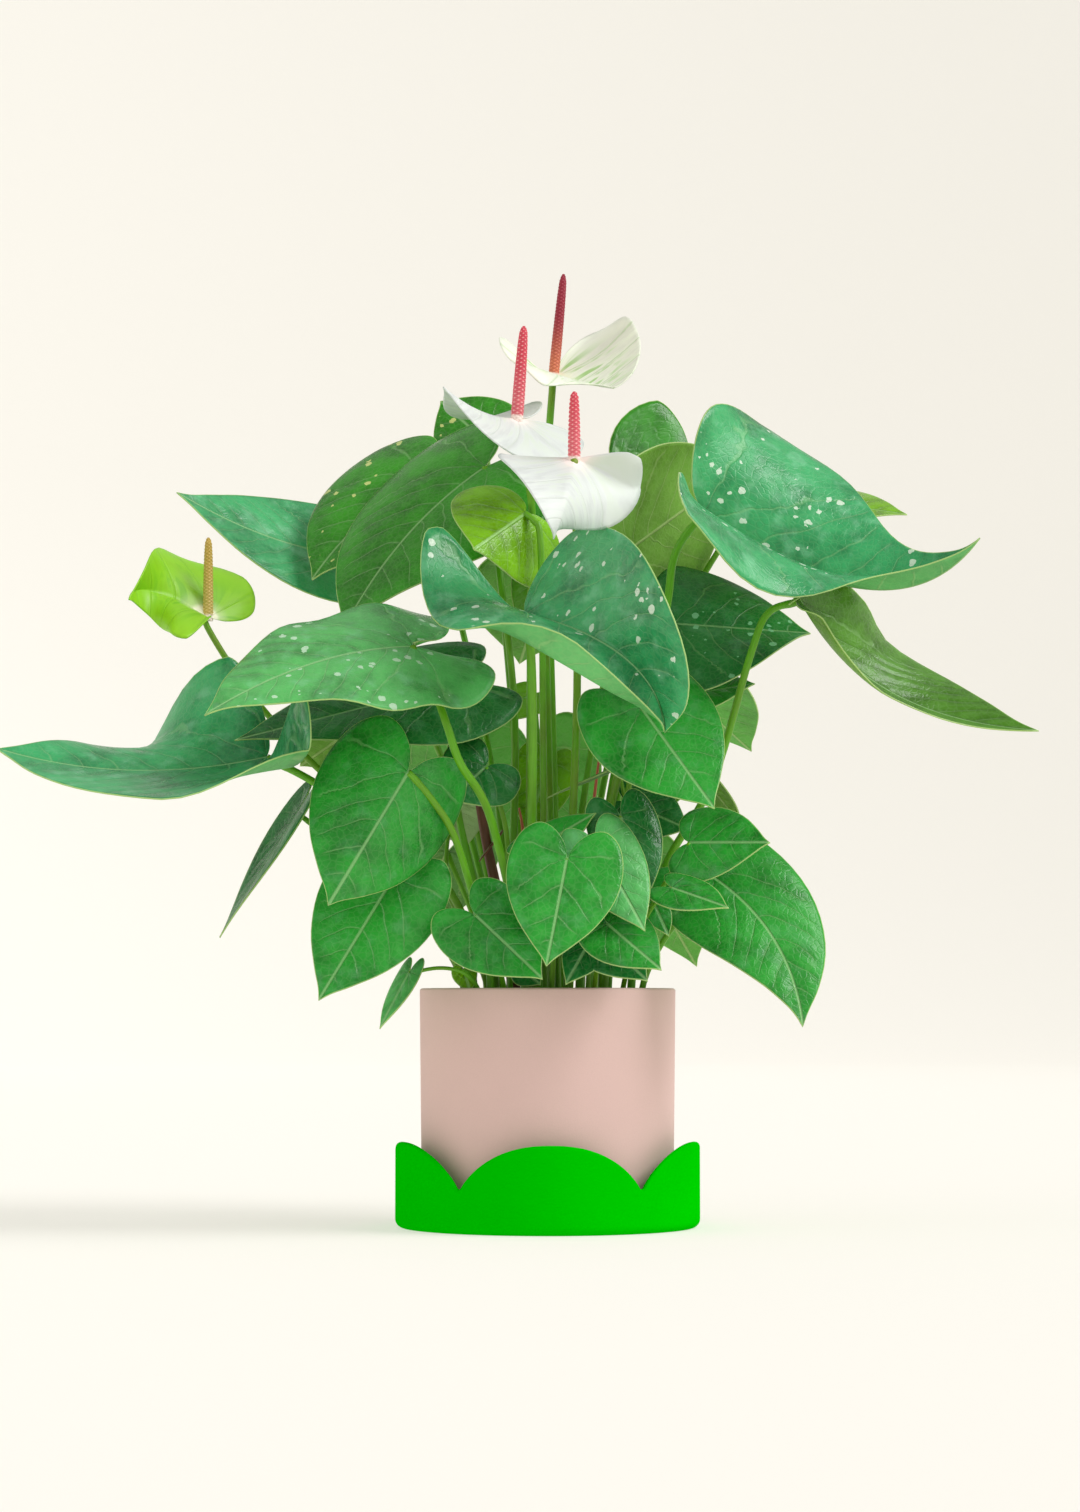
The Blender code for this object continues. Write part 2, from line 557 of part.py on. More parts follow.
# The pieces
def lobed_rim(angle):
    """Height of the saucer's rim: five round lobes with a notch between each two."""
    step = 2 * np.pi / LOBES
    place = np.abs(((angle + np.pi / 2) / step + 0.5) % 1 - 0.5) * 2
    return NOTCH_TOP + (LOBE_TOP - NOTCH_TOP) * (1 - place**2.3) ** 0.8


def make_saucer(home):
    """A disc, a rounded corner and an upright wall, as one surface round the axis."""
    angle = np.linspace(0, 2 * np.pi, LOBES * LOBE_STEPS + 1) - np.pi / 2
    rim = lobed_rim(angle)
    inner = SAUCER_RADIUS - SAUCER_CORNER
    rows = [(0, 0), (0.5 * inner, 0), (inner, 0)]
    for turn in np.radians((45, 90)):
        rows.append((inner + SAUCER_CORNER * np.sin(turn), SAUCER_CORNER * (1 - np.cos(turn))))
    points = []
    for radius, height in rows:
        points.append(np.stack([radius * np.cos(angle), radius * np.sin(angle),
                                np.full(len(angle), height)], -1))
    for share in (0.5, 1.0):
        height = SAUCER_CORNER + (rim - SAUCER_CORNER) * share
        points.append(np.stack([SAUCER_RADIUS * np.cos(angle), SAUCER_RADIUS * np.sin(angle),
                                height], -1))
    obj = add_object("saucer", surface_mesh("saucer", np.array(points)), home, "saucer_green")
    thicken(obj, SAUCER_WALL, 1, even=True)
    obj.data.transform(Matrix.Rotation(np.radians(SAUCER_TURN), 4, "Z"))
    shade(obj)


def make_pot(home):
    """The pot's wall and floor as one closed profile, turned round the axis."""
    base, rim, edge = POT_BASE_RADIUS, POT_RIM_RADIUS, POT_EDGE
    floor_top = POT_FOOT + POT_FLOOR
    profile = [
        (rim - edge, POT_TOP), (rim - 0.3 * edge, POT_TOP - 0.3 * edge), (rim, POT_TOP - edge),
        (base, POT_FOOT + edge), (base - edge, POT_FOOT), (DRAIN_RADIUS, POT_FOOT),
        (DRAIN_RADIUS, floor_top), (base - POT_WALL - 2 * edge, floor_top),
        (base - POT_WALL, floor_top + 2 * edge), (rim - POT_WALL, POT_TOP - edge),
        (rim - POT_WALL + edge, POT_TOP),
    ]
    mesh = bpy.data.meshes.new("pot")
    bm = bmesh.new()
    verts = [bm.verts.new((radius * MM, 0, height * MM)) for radius, height in profile]
    for start, end in zip(verts, verts[1:] + verts[:1]):
        bm.edges.new((start, end))
    bm.to_mesh(mesh)
    bm.free()
    obj = add_object("pot", mesh, home, "pot_pink")
    turned = obj.modifiers.new("turned", "SCREW")
    turned.steps = POT_SIDES
    turned.render_steps = POT_SIDES
    turned.use_merge_vertices = True
    turned.merge_threshold = WELD
    apply_modifiers(obj)
    shade(obj)


def soil_radius(height):
    """The pot's inner radius at that height, less the gap and what its flat sides take."""
    share = (height - SOIL_FOOT) / (POT_TOP - SOIL_FOOT)
    inner = POT_BASE_RADIUS - POT_WALL + share * (POT_RIM_RADIUS - POT_BASE_RADIUS)
    return inner * np.cos(np.pi / POT_SIDES) - 2 * GAP


def make_soil(home, roots):
    """A plug that fills the pot, with a hole for each stem's foot."""
    corner = 2 * POT_EDGE
    bm = bmesh.new()
    bmesh.ops.create_cone(bm, cap_ends=True, segments=SOIL_SIDES,
                          radius1=(soil_radius(SOIL_FOOT) - corner) * MM,
                          radius2=soil_radius(SOIL_TOP) * MM,
                          depth=(SOIL_TOP - SOIL_FOOT) * MM)
    bm.transform(Matrix.Translation((0, 0, (SOIL_TOP + SOIL_FOOT) / 2 * MM)))
    mesh = bpy.data.meshes.new("soil")
    bm.to_mesh(mesh)
    bm.free()
    soil = add_object("soil", mesh, home, "soil_dark")

    bm = bmesh.new()
    low = SOIL_TOP - ROOT_DEPTH - GAP
    high = SOIL_TOP + 10
    for (x, y), radius in roots:
        hole = (radius * STALK_SWELL + GAP) / np.cos(np.pi / HOLE_SIDES)
        bmesh.ops.create_cone(bm, cap_ends=True, segments=HOLE_SIDES, radius1=hole * MM,
                              radius2=hole * MM, depth=(high - low) * MM,
                              matrix=Matrix.Translation((x * MM, y * MM, (high + low) / 2 * MM)))
    mesh = bpy.data.meshes.new("holes")
    bm.to_mesh(mesh)
    bm.free()
    cutter = add_object("holes", mesh, home, "soil_dark")
    combine(soil, [cutter], "DIFFERENCE")
    shade(soil)


def blade_grid(width):
    """Rows and columns of a blade's grid, finer for a wider blade."""
    if width >= 100:
        return 8, 6
    return (7, 4) if width >= 55 else (5, 4)


def stalk_radii(stem, count):
    return np.linspace(STALK_SWELL, STALK_NARROW, count) * stem


def make_leaf_node(name, leaves, home):
    """Blades and stalks of one leaf, or of one leafy stem, fused into one body."""
    pieces = []
    leader = None
    for leaf in leaves:
        pieces.append(make_blade(leaf, home, *blade_grid(leaf.width)))
        if leader is None:
            path = leader = stalk_path(leaf.root, leaf.joint, leaf.via)
        else:
            path = branch_path(leader, leaf.joint)
        sides = 6 if leaf.stem > THICK_STALK else 4
        pieces.append(make_tube(leaf.name + "_stalk", path, stalk_radii(leaf.stem, len(path)),
                                sides, home, leaf.tone))
    node = pieces[0]
    node.name = name
    combine(node, pieces[1:], "UNION")
    shade(node)


def make_bloom(bloom, home):
    """The spathe with its sinus cut clear, the spadix on its seat, and the stalk under it."""
    seat = np.array(bloom.seat, float)
    top = np.array(bloom.spadix, float)
    axis = unit(top - seat)
    length = np.linalg.norm(top - seat)

    share = np.array([0, 0.12, 0.35, 0.6, 0.8, 0.93, 1])
    swell = np.array([0.96, 1, 0.98, 0.88, 0.78, 0.66, 0.35])
    path = seat + np.outer(share * length, axis)
    spadix = make_tube(bloom.name + "_spadix", path, swell * bloom.thick, 8, home, bloom.tone)
    shade(spadix, 60)

    neck = seat - axis * 4 * bloom.stem
    path = stalk_path(bloom.root, neck, bloom.via, arrival=axis)
    path = np.vstack([path, seat - axis * GAP])
    stalk = make_tube(bloom.name + "_stalk", path, stalk_radii(bloom.stem, len(path)), 6, home,
                      "stalk_green")
    shade(stalk)

    spathe = make_blade(bloom.spathe, home, 8, 6)
    clear = bloom.thick + SPADIX_CLEAR
    path = seat + np.outer((-5 * bloom.stem, 6 * bloom.stem), axis)
    cutter = make_tube("sinus", path, (clear, clear), 10, home, "stalk_green")
    combine(spathe, [cutter], "DIFFERENCE")
    shade(spathe)


def make_stem(stem, home, extra=()):
    path = stalk_path(stem.root, stem.path[-1], stem.path[:-1])
    radii = np.linspace(*stem.radii, len(path))
    radii[:2] = stem.radii[0]
    obj = make_tube(stem.name, path, radii, 6, home, stem.tone)
    if extra:
        combine(obj, [make_blade(leaf, home, 6, 4) for leaf in extra], "UNION")
    shade(obj)


def leaf_nodes():
    """The leaves of each node, by the node's name."""
    nodes = {}
    for leaf in LEAVES:
        nodes.setdefault(leaf.shoot or leaf.name, []).append(leaf)
    return nodes


def main():
    clear_scene()
    home = new_collection("potted_flamingo_flower")
    nodes = leaf_nodes()
    roots = [(leaves[0].root, leaves[0].stem) for leaves in nodes.values()]
    roots += [(bloom.root, bloom.stem) for bloom in BLOOMS]
    roots += [(stem.root, stem.radii[0] / STALK_SWELL) for stem in STEMS]
    make_saucer(home)
    make_pot(home)
    make_soil(home, roots)
    for name, leaves in nodes.items():
        make_leaf_node(name, leaves, home)
    for bloom in BLOOMS:
        make_bloom(bloom, home)
    make_stem(STEMS[0], home, [BRACT])
    for stem in STEMS[1:]:
        make_stem(stem, home)


main()
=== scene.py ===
"""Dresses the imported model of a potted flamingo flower: leaves with veins and waxy skin, four
blooms, stalks, soil, a matt clay pot in its green lobed saucer, and a pale studio. X is to the
right, Y is away from the front, Z is up. The tables and formulas work in millimetres, and each
mesh is put into the scene in metres."""

from dataclasses import dataclass
from functools import partial

import bmesh
import bpy
import numpy as np
from bpy.props import FloatProperty, FloatVectorProperty, PointerProperty
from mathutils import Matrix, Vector


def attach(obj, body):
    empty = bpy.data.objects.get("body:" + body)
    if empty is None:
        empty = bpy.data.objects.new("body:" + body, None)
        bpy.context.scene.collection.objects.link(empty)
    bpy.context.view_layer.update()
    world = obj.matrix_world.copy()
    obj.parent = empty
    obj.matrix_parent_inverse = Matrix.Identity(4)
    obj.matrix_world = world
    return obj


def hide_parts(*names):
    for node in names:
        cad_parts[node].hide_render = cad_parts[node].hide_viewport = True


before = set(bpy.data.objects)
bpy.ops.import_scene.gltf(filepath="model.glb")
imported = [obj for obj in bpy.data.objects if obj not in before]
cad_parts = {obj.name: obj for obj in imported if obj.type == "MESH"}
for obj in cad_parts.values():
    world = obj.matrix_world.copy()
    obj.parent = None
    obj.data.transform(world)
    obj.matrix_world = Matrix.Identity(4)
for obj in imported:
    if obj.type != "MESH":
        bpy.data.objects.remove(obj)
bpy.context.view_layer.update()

bl_info = {
    "name": "Potted Flamingo Flower",
    "version": (1, 0, 0),
    "blender": (4, 5, 0),
    "location": "3D View > Sidebar > Flower",
    "description": "Builds a potted flamingo flower on its CAD frame, with its finishes and studio",
    "category": "Object",
}

MM = 0.001
MERGE = 1e-6                # points nearer than this are one, in metres

# Pot and saucer
SAUCER_RADIUS = 90.0
SAUCER_WALL = 3.0
SAUCER_CORNER = 5.0
SAUCER_TURN = 1.1
LOBES = 5
LOBE_FORM = (2.3, 0.8)      # the two powers of the lobe's curve
LOBE_TOP = 51.0
NOTCH_TOP = 23.5
POT_BASE_RADIUS = 74.2
POT_RIM_RADIUS = 75.8
POT_FOOT = 3.3
POT_TOP = 140.5
POT_WALL = 5.5
POT_FLOOR = 7.0
POT_EDGE = 1.6
DRAIN_RADIUS = 6.0
SOIL_TOP = 126.0
ROOT_DEPTH = 12.0
COLLAR = 2.0
SOIL_SPREAD = 66.0          # how far out the grains lie

# The photo's camera: its lens at a distance in metres, its place aside and up, and its tilt
LENS, LENS_DISTANCE = 84.1, 2.1
EYE = (-0.0045, 0.130)
TILT = 94.05
# Light: from the sky, and through the backdrop's sheet
SKY_LIGHT, SHEET_LIGHT = 0.45, 0.545

# Stalks: thickness at the foot and at the top, and how much, where and how far they swell under
# the blade, as shares of the radius and of the length
STALK_FOOT = 1.1
STALK_TOP = 0.9
SWELL, SWELL_PLACE, SWELL_LENGTH = 0.16, 0.955, 0.02

# Leaves: reach of the back lobes in the plain outline, slant of the side veins, their distance,
# and their numbers from joint to tip and round the back
LOBE_REACH = 0.27
VEIN_SLANT = 0.55
VEIN_GAP = 17
VEINS_AHEAD = (4, 7.5)
VEINS_BEHIND = 2.6
# Least width of a blade, and the rows and columns of its grid
GRIDS = ((100, 52, 36), (55, 40, 26), (0, 26, 16))
# Spikes: usual length, what the foot sinks into the spathe, and radius from foot to tip
SPIKE_LENGTH = 55
SPIKE_SINK = 3.6
SPIKE_FORM = ((0, 0.12, 0.35, 0.6, 0.8, 0.93, 0.98, 1),
              (0.9, 0.96, 0.94, 0.86, 0.76, 0.62, 0.36, 0.12))
# How waxy each leaf finish is, and so how much painted bluish sheen its upper side carries
LEAF_SHEEN = {"leaf_green": 0.35, "leaf_bluish": 1.0, "leaf_deep": 0, "leaf_dark": 0.4,
        "leaf_light": 0.8, "leaf_lime": 0, "leaf_olive": 0, "leaf_pale": 0}
# Leaves with dried drops on them, and the drops' colours
DROPPED = ("leaf_right_high", "leaf_centre", "leaf_left_glossy", "leaf_right_back_lobe",
           "leaf_top_left_back", "leaf_left_middle", "leaf_right_middle")
DROPS = {"leaf_bluish": "#E2F2E0", "leaf_deep": "#D8E08C", "leaf_light": "#C8EACC",
         "leaf_dark": "#8CCCA0", "leaf_green": "#A8E0B4"}

# Half outline of a heart-shaped blade: distance along the midrib, as a share of its length, and
# half width, as a share of the greatest. It runs from the sinus round the lobe to the tip.
HALF_OUTLINE = np.array([
    (0.00, 0.00), (-0.14, 0.12), (-0.25, 0.36), (-0.27, 0.62), (-0.15, 0.88), (0.08, 1.00),
    (0.34, 0.94), (0.60, 0.69), (0.80, 0.36), (0.92, 0.12), (1.00, 0.00),
])


@dataclass
class Leaf:
    """One blade and its stalk. joint is where they meet, tip is the blade's tip, and face is the
    way its upper side looks. Pairs give the half on the left and on the right of the midrib, seen
    from above and looking to the tip. Angles are in degrees, and up is positive."""

    name: str
    joint: tuple
    tip: tuple
    face: tuple
    width: float
    root: tuple = None          # where the stalk enters the soil
    via: tuple = ()             # points that the stalk passes
    stem: float = 1.6           # radius of the stalk
    bend: tuple = (0, 0, 0)     # how far the midrib's middle is off the straight line
    twist: float = 0.0          # turn of the blade round its midrib, at the tip
    fold: tuple = (8, 8)        # slope of each half at the midrib
    curl: tuple = (-25, -25)    # change of that slope out to the margin
    roll: tuple = (0, 0)        # more curl towards the tip
    hem: tuple = (0, 0)         # turn of the margin alone
    lift: tuple = (0, 0)        # rise of each back lobe
    lobe: tuple = (1, 1)        # length of each back lobe, against the plain outline
    taper: float = 0.0          # narrowing towards the tip
    wave: float = 0.0           # height of the margin's waves
    tone: str = "leaf_green"
    shoot: str = None           # the leafy stem that it is part of, if any


# The leaves, from the left of the plant to the right, high ones first, then the back ones.
# Leaves of one shoot are together, and the first of them has the stalk that the others leave.
LEAVES = [
    Leaf("leaf_left_high", (-129, 103, 412), (-228, 55, 445), (-0.1, -0.8, 0.6), 92,
         root=(-30, 16), bend=(0, 0, -6), twist=-18, curl=(-15, -15), stem=2.0,
         tone="leaf_bluish"),
    Leaf("leaf_left_glossy", (-77, 80, 458), (-144, 49, 390), (-0.45, -0.8, 0.5), 112,
         root=(-20, 22), bend=(-4, 0, 4), curl=(-30, -30), stem=2.0, tone="leaf_deep"),
    Leaf("leaf_top_glossy", (-38, 38, 458), (-122, -8, 352), (-0.5, -0.75, 0.45), 132,
         root=(-22, -3), via=((-20, -1, 310),), bend=(-6, 0, 6), curl=(-35, -35),
         lobe=(0.85, 0.85), stem=2.3, tone="leaf_deep"),
    Leaf("leaf_top_left_back", (-39, 105, 485), (-68, 132, 515), (-0.2, -0.9, 0.35), 60,
         root=(-14, 38), stem=1.8, tone="leaf_deep"),
    Leaf("leaf_top_lime", (-13, -30, 420), (-43, -64, 394), (-0.35, -0.93, 0.2), 88,
         root=(-2, -14), via=((-3, -34, 330), (-4, -38, 398), (-7, -36, 413)), fold=(-40, 5),
         curl=(-40, -15), stem=2.0, tone="leaf_lime"),
    Leaf("leaf_centre_back", (1, 5, 397), (-14, -3, 350), (-0.3, -0.93, 0.15), 42, root=(6, -3),
         lobe=(0.4, 0.4), tone="leaf_olive"),
    Leaf("leaf_centre", (-13, -86, 354), (65, -135, 282), (0.44, -0.66, 0.17), 124, root=(-6, -26),
         via=((-9, -50, 235), (-9, -80, 320)), bend=(18, -41, 3), twist=-40, fold=(56, 29),
         curl=(0, -75), roll=(-8, 10), hem=(0, 130), lift=(-1, 38), lobe=(0.43, 1.7), taper=0.08,
         stem=2.8, tone="leaf_bluish"),
    Leaf("leaf_far_left", (-163, -55, 274), (-316, -81, 277), (1.38, 0.33, 1.02), 142,
         root=(-36, -12), via=((-63, -26, 205), (-120, -47, 250)), bend=(0, -11, -11), twist=36,
         fold=(-4, 26), curl=(55, 39), roll=(-53, -95), lift=(45, 0), lobe=(0.2, 0.25),
         taper=-0.28, stem=2.4, tone="leaf_bluish"),
    Leaf("leaf_left_middle", (-78, -78, 336), (-191, -143, 291), (0, -0.65, 0.75), 116,
         root=(-14, -36), via=((-33, -72, 238), (-50, -96, 268), (-57, -98, 288), (-65, -91, 310)),
         bend=(0, 0, 9), twist=-10, curl=(-30, -30), wave=3, stem=2.4, tone="leaf_light"),
    Leaf("leaf_left_under", (-60, -21, 318), (-181, -65, 283), (0, -0.68, 0.72), 98,
         root=(-32, -20), via=((-52, -26, 240),), taper=0.35, stem=2.2, tone="leaf_dark"),
    Leaf("leaf_left_olive", (-121, 5, 292), (-149, 20, 274), (0, 0.8, 0.6), 44, root=(-42, 6),
         tone="leaf_olive", shoot="shoot_left_back"),
    Leaf("leaf_pale_back", (-56, 2, 251), (-48, 10, 225), (0, 0.85, 0.5), 40, stem=1.3,
         tone="leaf_pale", shoot="shoot_left_back"),
    Leaf("leaf_left_heart", (-79, -105, 262), (-123, -125, 186), (-0.05, -0.93, 0.4), 100,
         root=(-34, -42), via=((-54, -80, 228),), fold=(-45, 2), curl=(-25, -20), stem=2.2),
    Leaf("leaf_left_low", (-89, -70, 203), (-130, -95, 133), (0, -0.95, 0.3), 72, root=(-46, -32),
         stem=2.0),
    Leaf("leaf_left_hanging", (-148, -12, 244), (-192, -30, 170), (-0.85, -0.2, 0.4), 38,
         root=(-48, -4), curl=(-30, 30), tone="leaf_dark"),
    Leaf("leaf_small_round", (-36, -46, 269), (-57, -60, 248), (0.15, -0.9, 0.4), 50,
         root=(-22, -28), via=((-24, -40, 230),), lobe=(1.3, 1.3), tone="leaf_dark"),
    Leaf("leaf_lime_middle", (-8, 45, 320), (-44, 24, 300), (-0.2, -0.7, 0.7), 36, root=(2, 18),
         lobe=(0.5, 0.5), tone="leaf_lime", shoot="shoot_lime"),
    Leaf("leaf_lime_low", (-1, 34, 276), (-12, 26, 232), (0, -0.95, 0.3), 40, stem=1.3,
         tone="leaf_lime", shoot="shoot_lime"),
    Leaf("leaf_right_high", (92, -35, 417), (248, -87, 398), (-0.49, -0.68, 0.68), 193,
         root=(20, -15), via=((45, -33, 280), (68, -33, 355), (74, -33, 392), (83, -34, 409)),
         bend=(18, 10, -35), twist=7, fold=(24, 73), curl=(-75, -28), roll=(23, -87),
         lift=(15, 19), lobe=(0.76, 0.44), taper=0.54, stem=2.5, tone="leaf_bluish"),
    Leaf("leaf_right_back_lobe", (89, 104, 463), (83, 98, 423), (0.15, -0.81, 0.4), 110,
         root=(20, 26), bend=(-5, -2, 8), fold=(8, 8), curl=(-25, 7), lobe=(1, 0.9), taper=0.1,
         stem=2.0, tone="leaf_deep"),
    Leaf("leaf_right_under", (51, 25, 407), (123, 80, 466), (-0.1, 0.8, 0.55), 112, root=(12, 10),
         stem=2.0, tone="leaf_olive"),
    Leaf("leaf_right_behind", (137, 55, 443), (218, 25, 427), (0, -0.45, 0.9), 84, root=(36, 18),
         via=((40, 30, 250), (70, 62, 340), (105, 72, 410)), stem=2.0, tone="leaf_lime"),
    Leaf("leaf_right_middle", (76, 12, 359), (158, 10, 353), (0, -0.8, 0.6), 108, root=(26, 2),
         via=((40, 22, 270), (60, 26, 330)), twist=20, lobe=(0.6, 0.6), stem=2.0,
         tone="leaf_dark"),
    Leaf("leaf_far_right", (149, -30, 368), (290, -21, 292), (0.53, 0.57, 0.25), 63,
         root=(50, -12), via=((68, -26, 210), (97, -30, 262), (119, -31, 335), (130, -30, 361)),
         bend=(-13, 28, -14), twist=-40, fold=(85, -45), curl=(74, 30), roll=(-95, -22),
         lift=(-26, -6), lobe=(0.2, 0.24), taper=-0.89, stem=2.3, tone="leaf_olive"),
    Leaf("leaf_right_centre", (54, -62, 302), (95, -90, 242), (0.05, -0.9, 0.42), 80,
         root=(34, -28), via=((42, -30, 230), (50, -38, 270)), lobe=(1.2, 1.2), stem=1.8),
    Leaf("leaf_right_small", (82, -62, 224), (127, -85, 223), (0, -0.88, 0.45), 52, root=(44, -32),
         via=((56, -56, 180),), lobe=(0.7, 0.7), stem=1.5, shoot="shoot_right"),
    Leaf("leaf_right_tiny", (71, -85, 197), (102, -108, 185), (0.05, -0.75, 0.65), 30, stem=1.1,
         shoot="shoot_right"),
    Leaf("leaf_right_sliver", (62, -54, 188), (70, -59, 170), (0, -0.85, 0.5), 16, stem=1.1,
         shoot="shoot_right"),
    Leaf("leaf_right_low", (96, -42, 205), (145, -85, 118), (0.2, -0.93, 0.3), 80, root=(54, -24),
         bend=(10, 0, 6), stem=1.8),
    Leaf("leaf_right_back_small", (89, 12, 317), (124, 2, 322), (0, -0.6, 0.8), 38, root=(36, 5),
         shoot="shoot_right_back"),
    Leaf("leaf_edge_on", (42, -10, 272), (-1, -22, 252), (0, 0.12, 0.99), 20, stem=1.2,
         tone="leaf_dark", shoot="shoot_right_back"),
    Leaf("leaf_right_pale", (95, 0, 263), (116, 5, 238), (0.6, 0.45, 0.6), 26, stem=1.2,
         tone="leaf_olive", shoot="shoot_right_back"),
    Leaf("leaf_behind_dark", (47, -4, 251), (84, -10, 234), (0.1, -0.9, 0.45), 46, stem=1.2,
         tone="leaf_dark", shoot="shoot_right_back"),
    Leaf("leaf_right_point", (126, -14, 223), (151, -16, 201), (0.2, -0.1, 0.97), 20, stem=1.2,
         tone="leaf_dark", shoot="shoot_right_back"),
    Leaf("leaf_front_heart", (11, -98, 214), (-1, -122, 152), (0, -0.93, 0.37), 66, root=(2, -50),
         curl=(-15, -15)),
    Leaf("leaf_front_pale", (28, -80, 223), (55, -100, 172), (0.1, -0.92, 0.38), 46,
         root=(13, -46), lobe=(0.9, 0.9), stem=1.4, tone="leaf_light"),
    Leaf("leaf_front_dark", (42, -58, 240), (58, -72, 192), (0.15, -0.9, 0.42), 44, root=(23, -40),
         stem=1.4, tone="leaf_dark"),
    Leaf("leaf_front_top", (-10, -66, 219), (28, -66, 241), (0, -0.75, 0.66), 30, root=(-8, -46),
         stem=1.4, shoot="shoot_front"),
    Leaf("leaf_low_dark", (-14, -50, 150), (-4, -58, 142), (0, -0.9, 0.4), 18, stem=1.1,
         tone="leaf_dark", shoot="shoot_front"),
    Leaf("leaf_low_left", (-42, -84, 182), (-3, -102, 145), (0.05, -0.92, 0.4), 58,
         root=(-24, -50), stem=1.5),
    Leaf("leaf_low_right", (34, -90, 176), (64, -108, 150), (0.1, -0.9, 0.45), 42, root=(26, -51),
         stem=1.4, shoot="shoot_low_right"),
    Leaf("leaf_low_right_under", (29, -70, 170), (57, -84, 144), (0.1, -0.9, 0.45), 38, stem=1.1,
         tone="leaf_dark", shoot="shoot_low_right"),
    Leaf("leaf_low_small", (26, -72, 170), (10, -84, 142), (0, -0.9, 0.4), 28, stem=1.1,
         tone="leaf_dark", shoot="shoot_low_right"),
    Leaf("leaf_rim", (-80, -62, 149), (-96, -78, 117), (-0.6, -0.75, 0.3), 18, root=(-38, -48),
         via=((-42, -51, 143), (-56, -57, 152)), stem=1.2, tone="leaf_light",
         shoot="shoot_low_left"),
    Leaf("leaf_low_lime", (-49, -42, 151), (-45, -45, 138), (0, -0.9, 0.4), 15, stem=1.1,
         tone="leaf_lime", shoot="shoot_low_left"),
    Leaf("leaf_back_top", (2, 116, 404), (-18, 207, 354), (0, 0.4, 0.9), 96, root=(0, 42),
         lobe=(0.6, 0.6), stem=2.0, tone="leaf_deep"),
    Leaf("leaf_back_left", (-66, 105, 318), (-146, 185, 268), (-0.2, 0.45, 0.87), 100,
         root=(-28, 32), lobe=(0.6, 0.6), stem=2.0),
    Leaf("leaf_back_right", (68, 108, 345), (133, 188, 295), (0.25, 0.4, 0.87), 100, root=(32, 32),
         lobe=(0.6, 0.6), stem=2.0),
    Leaf("leaf_back_middle", (-10, 105, 290), (-5, 185, 215), (0, 0.6, 0.8), 88, root=(10, 48),
         stem=2.0),
    Leaf("leaf_back_low_left", (-62, 82, 225), (-105, 140, 160), (-0.3, 0.7, 0.6), 72,
         root=(-34, 42), stem=1.7, tone="leaf_dark"),
    Leaf("leaf_back_low_right", (55, 85, 220), (95, 142, 155), (0.3, 0.7, 0.6), 72, root=(28, 44),
         stem=1.7),
]


@dataclass
class Bloom:
    """A spathe, its spadix and its stalk. seat is where the spadix stands on the spathe, and
    spadix is its top. The stalk comes up to the seat along the spadix's own line."""

    name: str
    seat: tuple
    spadix: tuple
    spathe: Leaf
    root: tuple
    via: tuple = ()
    stem: float = 2.3
    thick: float = 3.4          # radius of the spadix
    tone: str = "spadix_pink"


BLOOMS = [
    Bloom("bloom_top", (4, 44, 517), (10, 41, 578),
          Leaf("spathe_top", (5, 42, 514), (40, 16, 503), (-0.27, -0.61, 0.7), 119,
               bend=(9, 0, -2), twist=-10, fold=(-7, 49), curl=(0, -14), roll=(44, -10),
               lift=(1, 18), lobe=(0.45, 1.78), taper=0, tone="spathe_green_white"),
          root=(4, 6), stem=2.4, thick=3.2, tone="spadix_red"),
    Bloom("bloom_left", (-18, -27, 479), (-14, -30, 532),
          Leaf("spathe_left", (-18, -27, 477), (-61, -62, 490), (0.1, -0.2, 0.97), 84,
               bend=(0, 0, -5), fold=(-28, -8), curl=(-10, 5), lift=(0, 10), lobe=(2.2, 2.2),
               tone="spathe_white"),
          root=(-11, -5), via=((-10, -11, 330), (-10, -10, 376), (-9, -19, 424)), thick=3.7),
    Bloom("bloom_front", (15, -106, 442), (15, -109, 479),
          Leaf("spathe_front", (15, -106, 441), (3, -140, 390), (0.69, -0.25, 0.58), 87,
               bend=(1, -13, -2), twist=40, fold=(20, -51), curl=(4, 10), roll=(-39, 5),
               lift=(18, -4), lobe=(0.2, 0.21), taper=0.28, tone="spathe_white"),
          root=(12, -29), via=((17, -34, 300), (17, -44, 392)), thick=3.5),
    Bloom("bloom_lime", (-201, -20, 361), (-201, -21, 407),
          Leaf("spathe_lime", (-201, -22, 359), (-243, -62, 365), (0.33, 0.01, 0.12), 106,
               bend=(-12, 9, 12), twist=-2, fold=(2, 59), curl=(-50, -35), roll=(16, -70),
               lift=(4, -5), lobe=(0.2, 1.21), taper=0.52, tone="spathe_lime"),
          root=(-40, 24), via=((-110, 10, 245), (-165, -8, 300)), stem=2.0, thick=3.0,
          tone="spadix_mustard"),
]


@dataclass
class Stem:
    """A stem or shoot with no blade of its own: its path, and its radius at the foot and top."""

    name: str
    root: tuple
    path: tuple
    radii: tuple
    tone: str


STEMS = [
    Stem("main_stem", (-20, -16), ((-27, -16, 185), (-34, -16, 215), (-42, -16, 262),
                                   (-47, -16, 303)), (4.6, 2.2), "stem_brown"),
    Stem("shoot_coral_long", (19, 7), ((26, 4, 237), (32, 4, 287)), (3.0, 0.5), "stem_coral"),
    Stem("shoot_coral_short", (-12, 7), ((-14, 6, 226), (-17, 4, 248)), (2.8, 0.5), "stem_coral"),
]
BRACT = Leaf("bract", (-31, -18, 228), (-40, -40, 214), (-0.6, 0.2, 0.8), 12, tone="stem_brown")


# Formulas
def unit(vectors):
    """Each vector at length one."""
    vectors = np.asarray(vectors, float)
    return vectors / np.linalg.norm(vectors, axis=-1, keepdims=True)


def smooth(x):
    """A soft step from 0 to 1 as x goes from 0 to 1."""
    x = np.clip(x, 0, 1)
    return x * x * (3 - 2 * x)


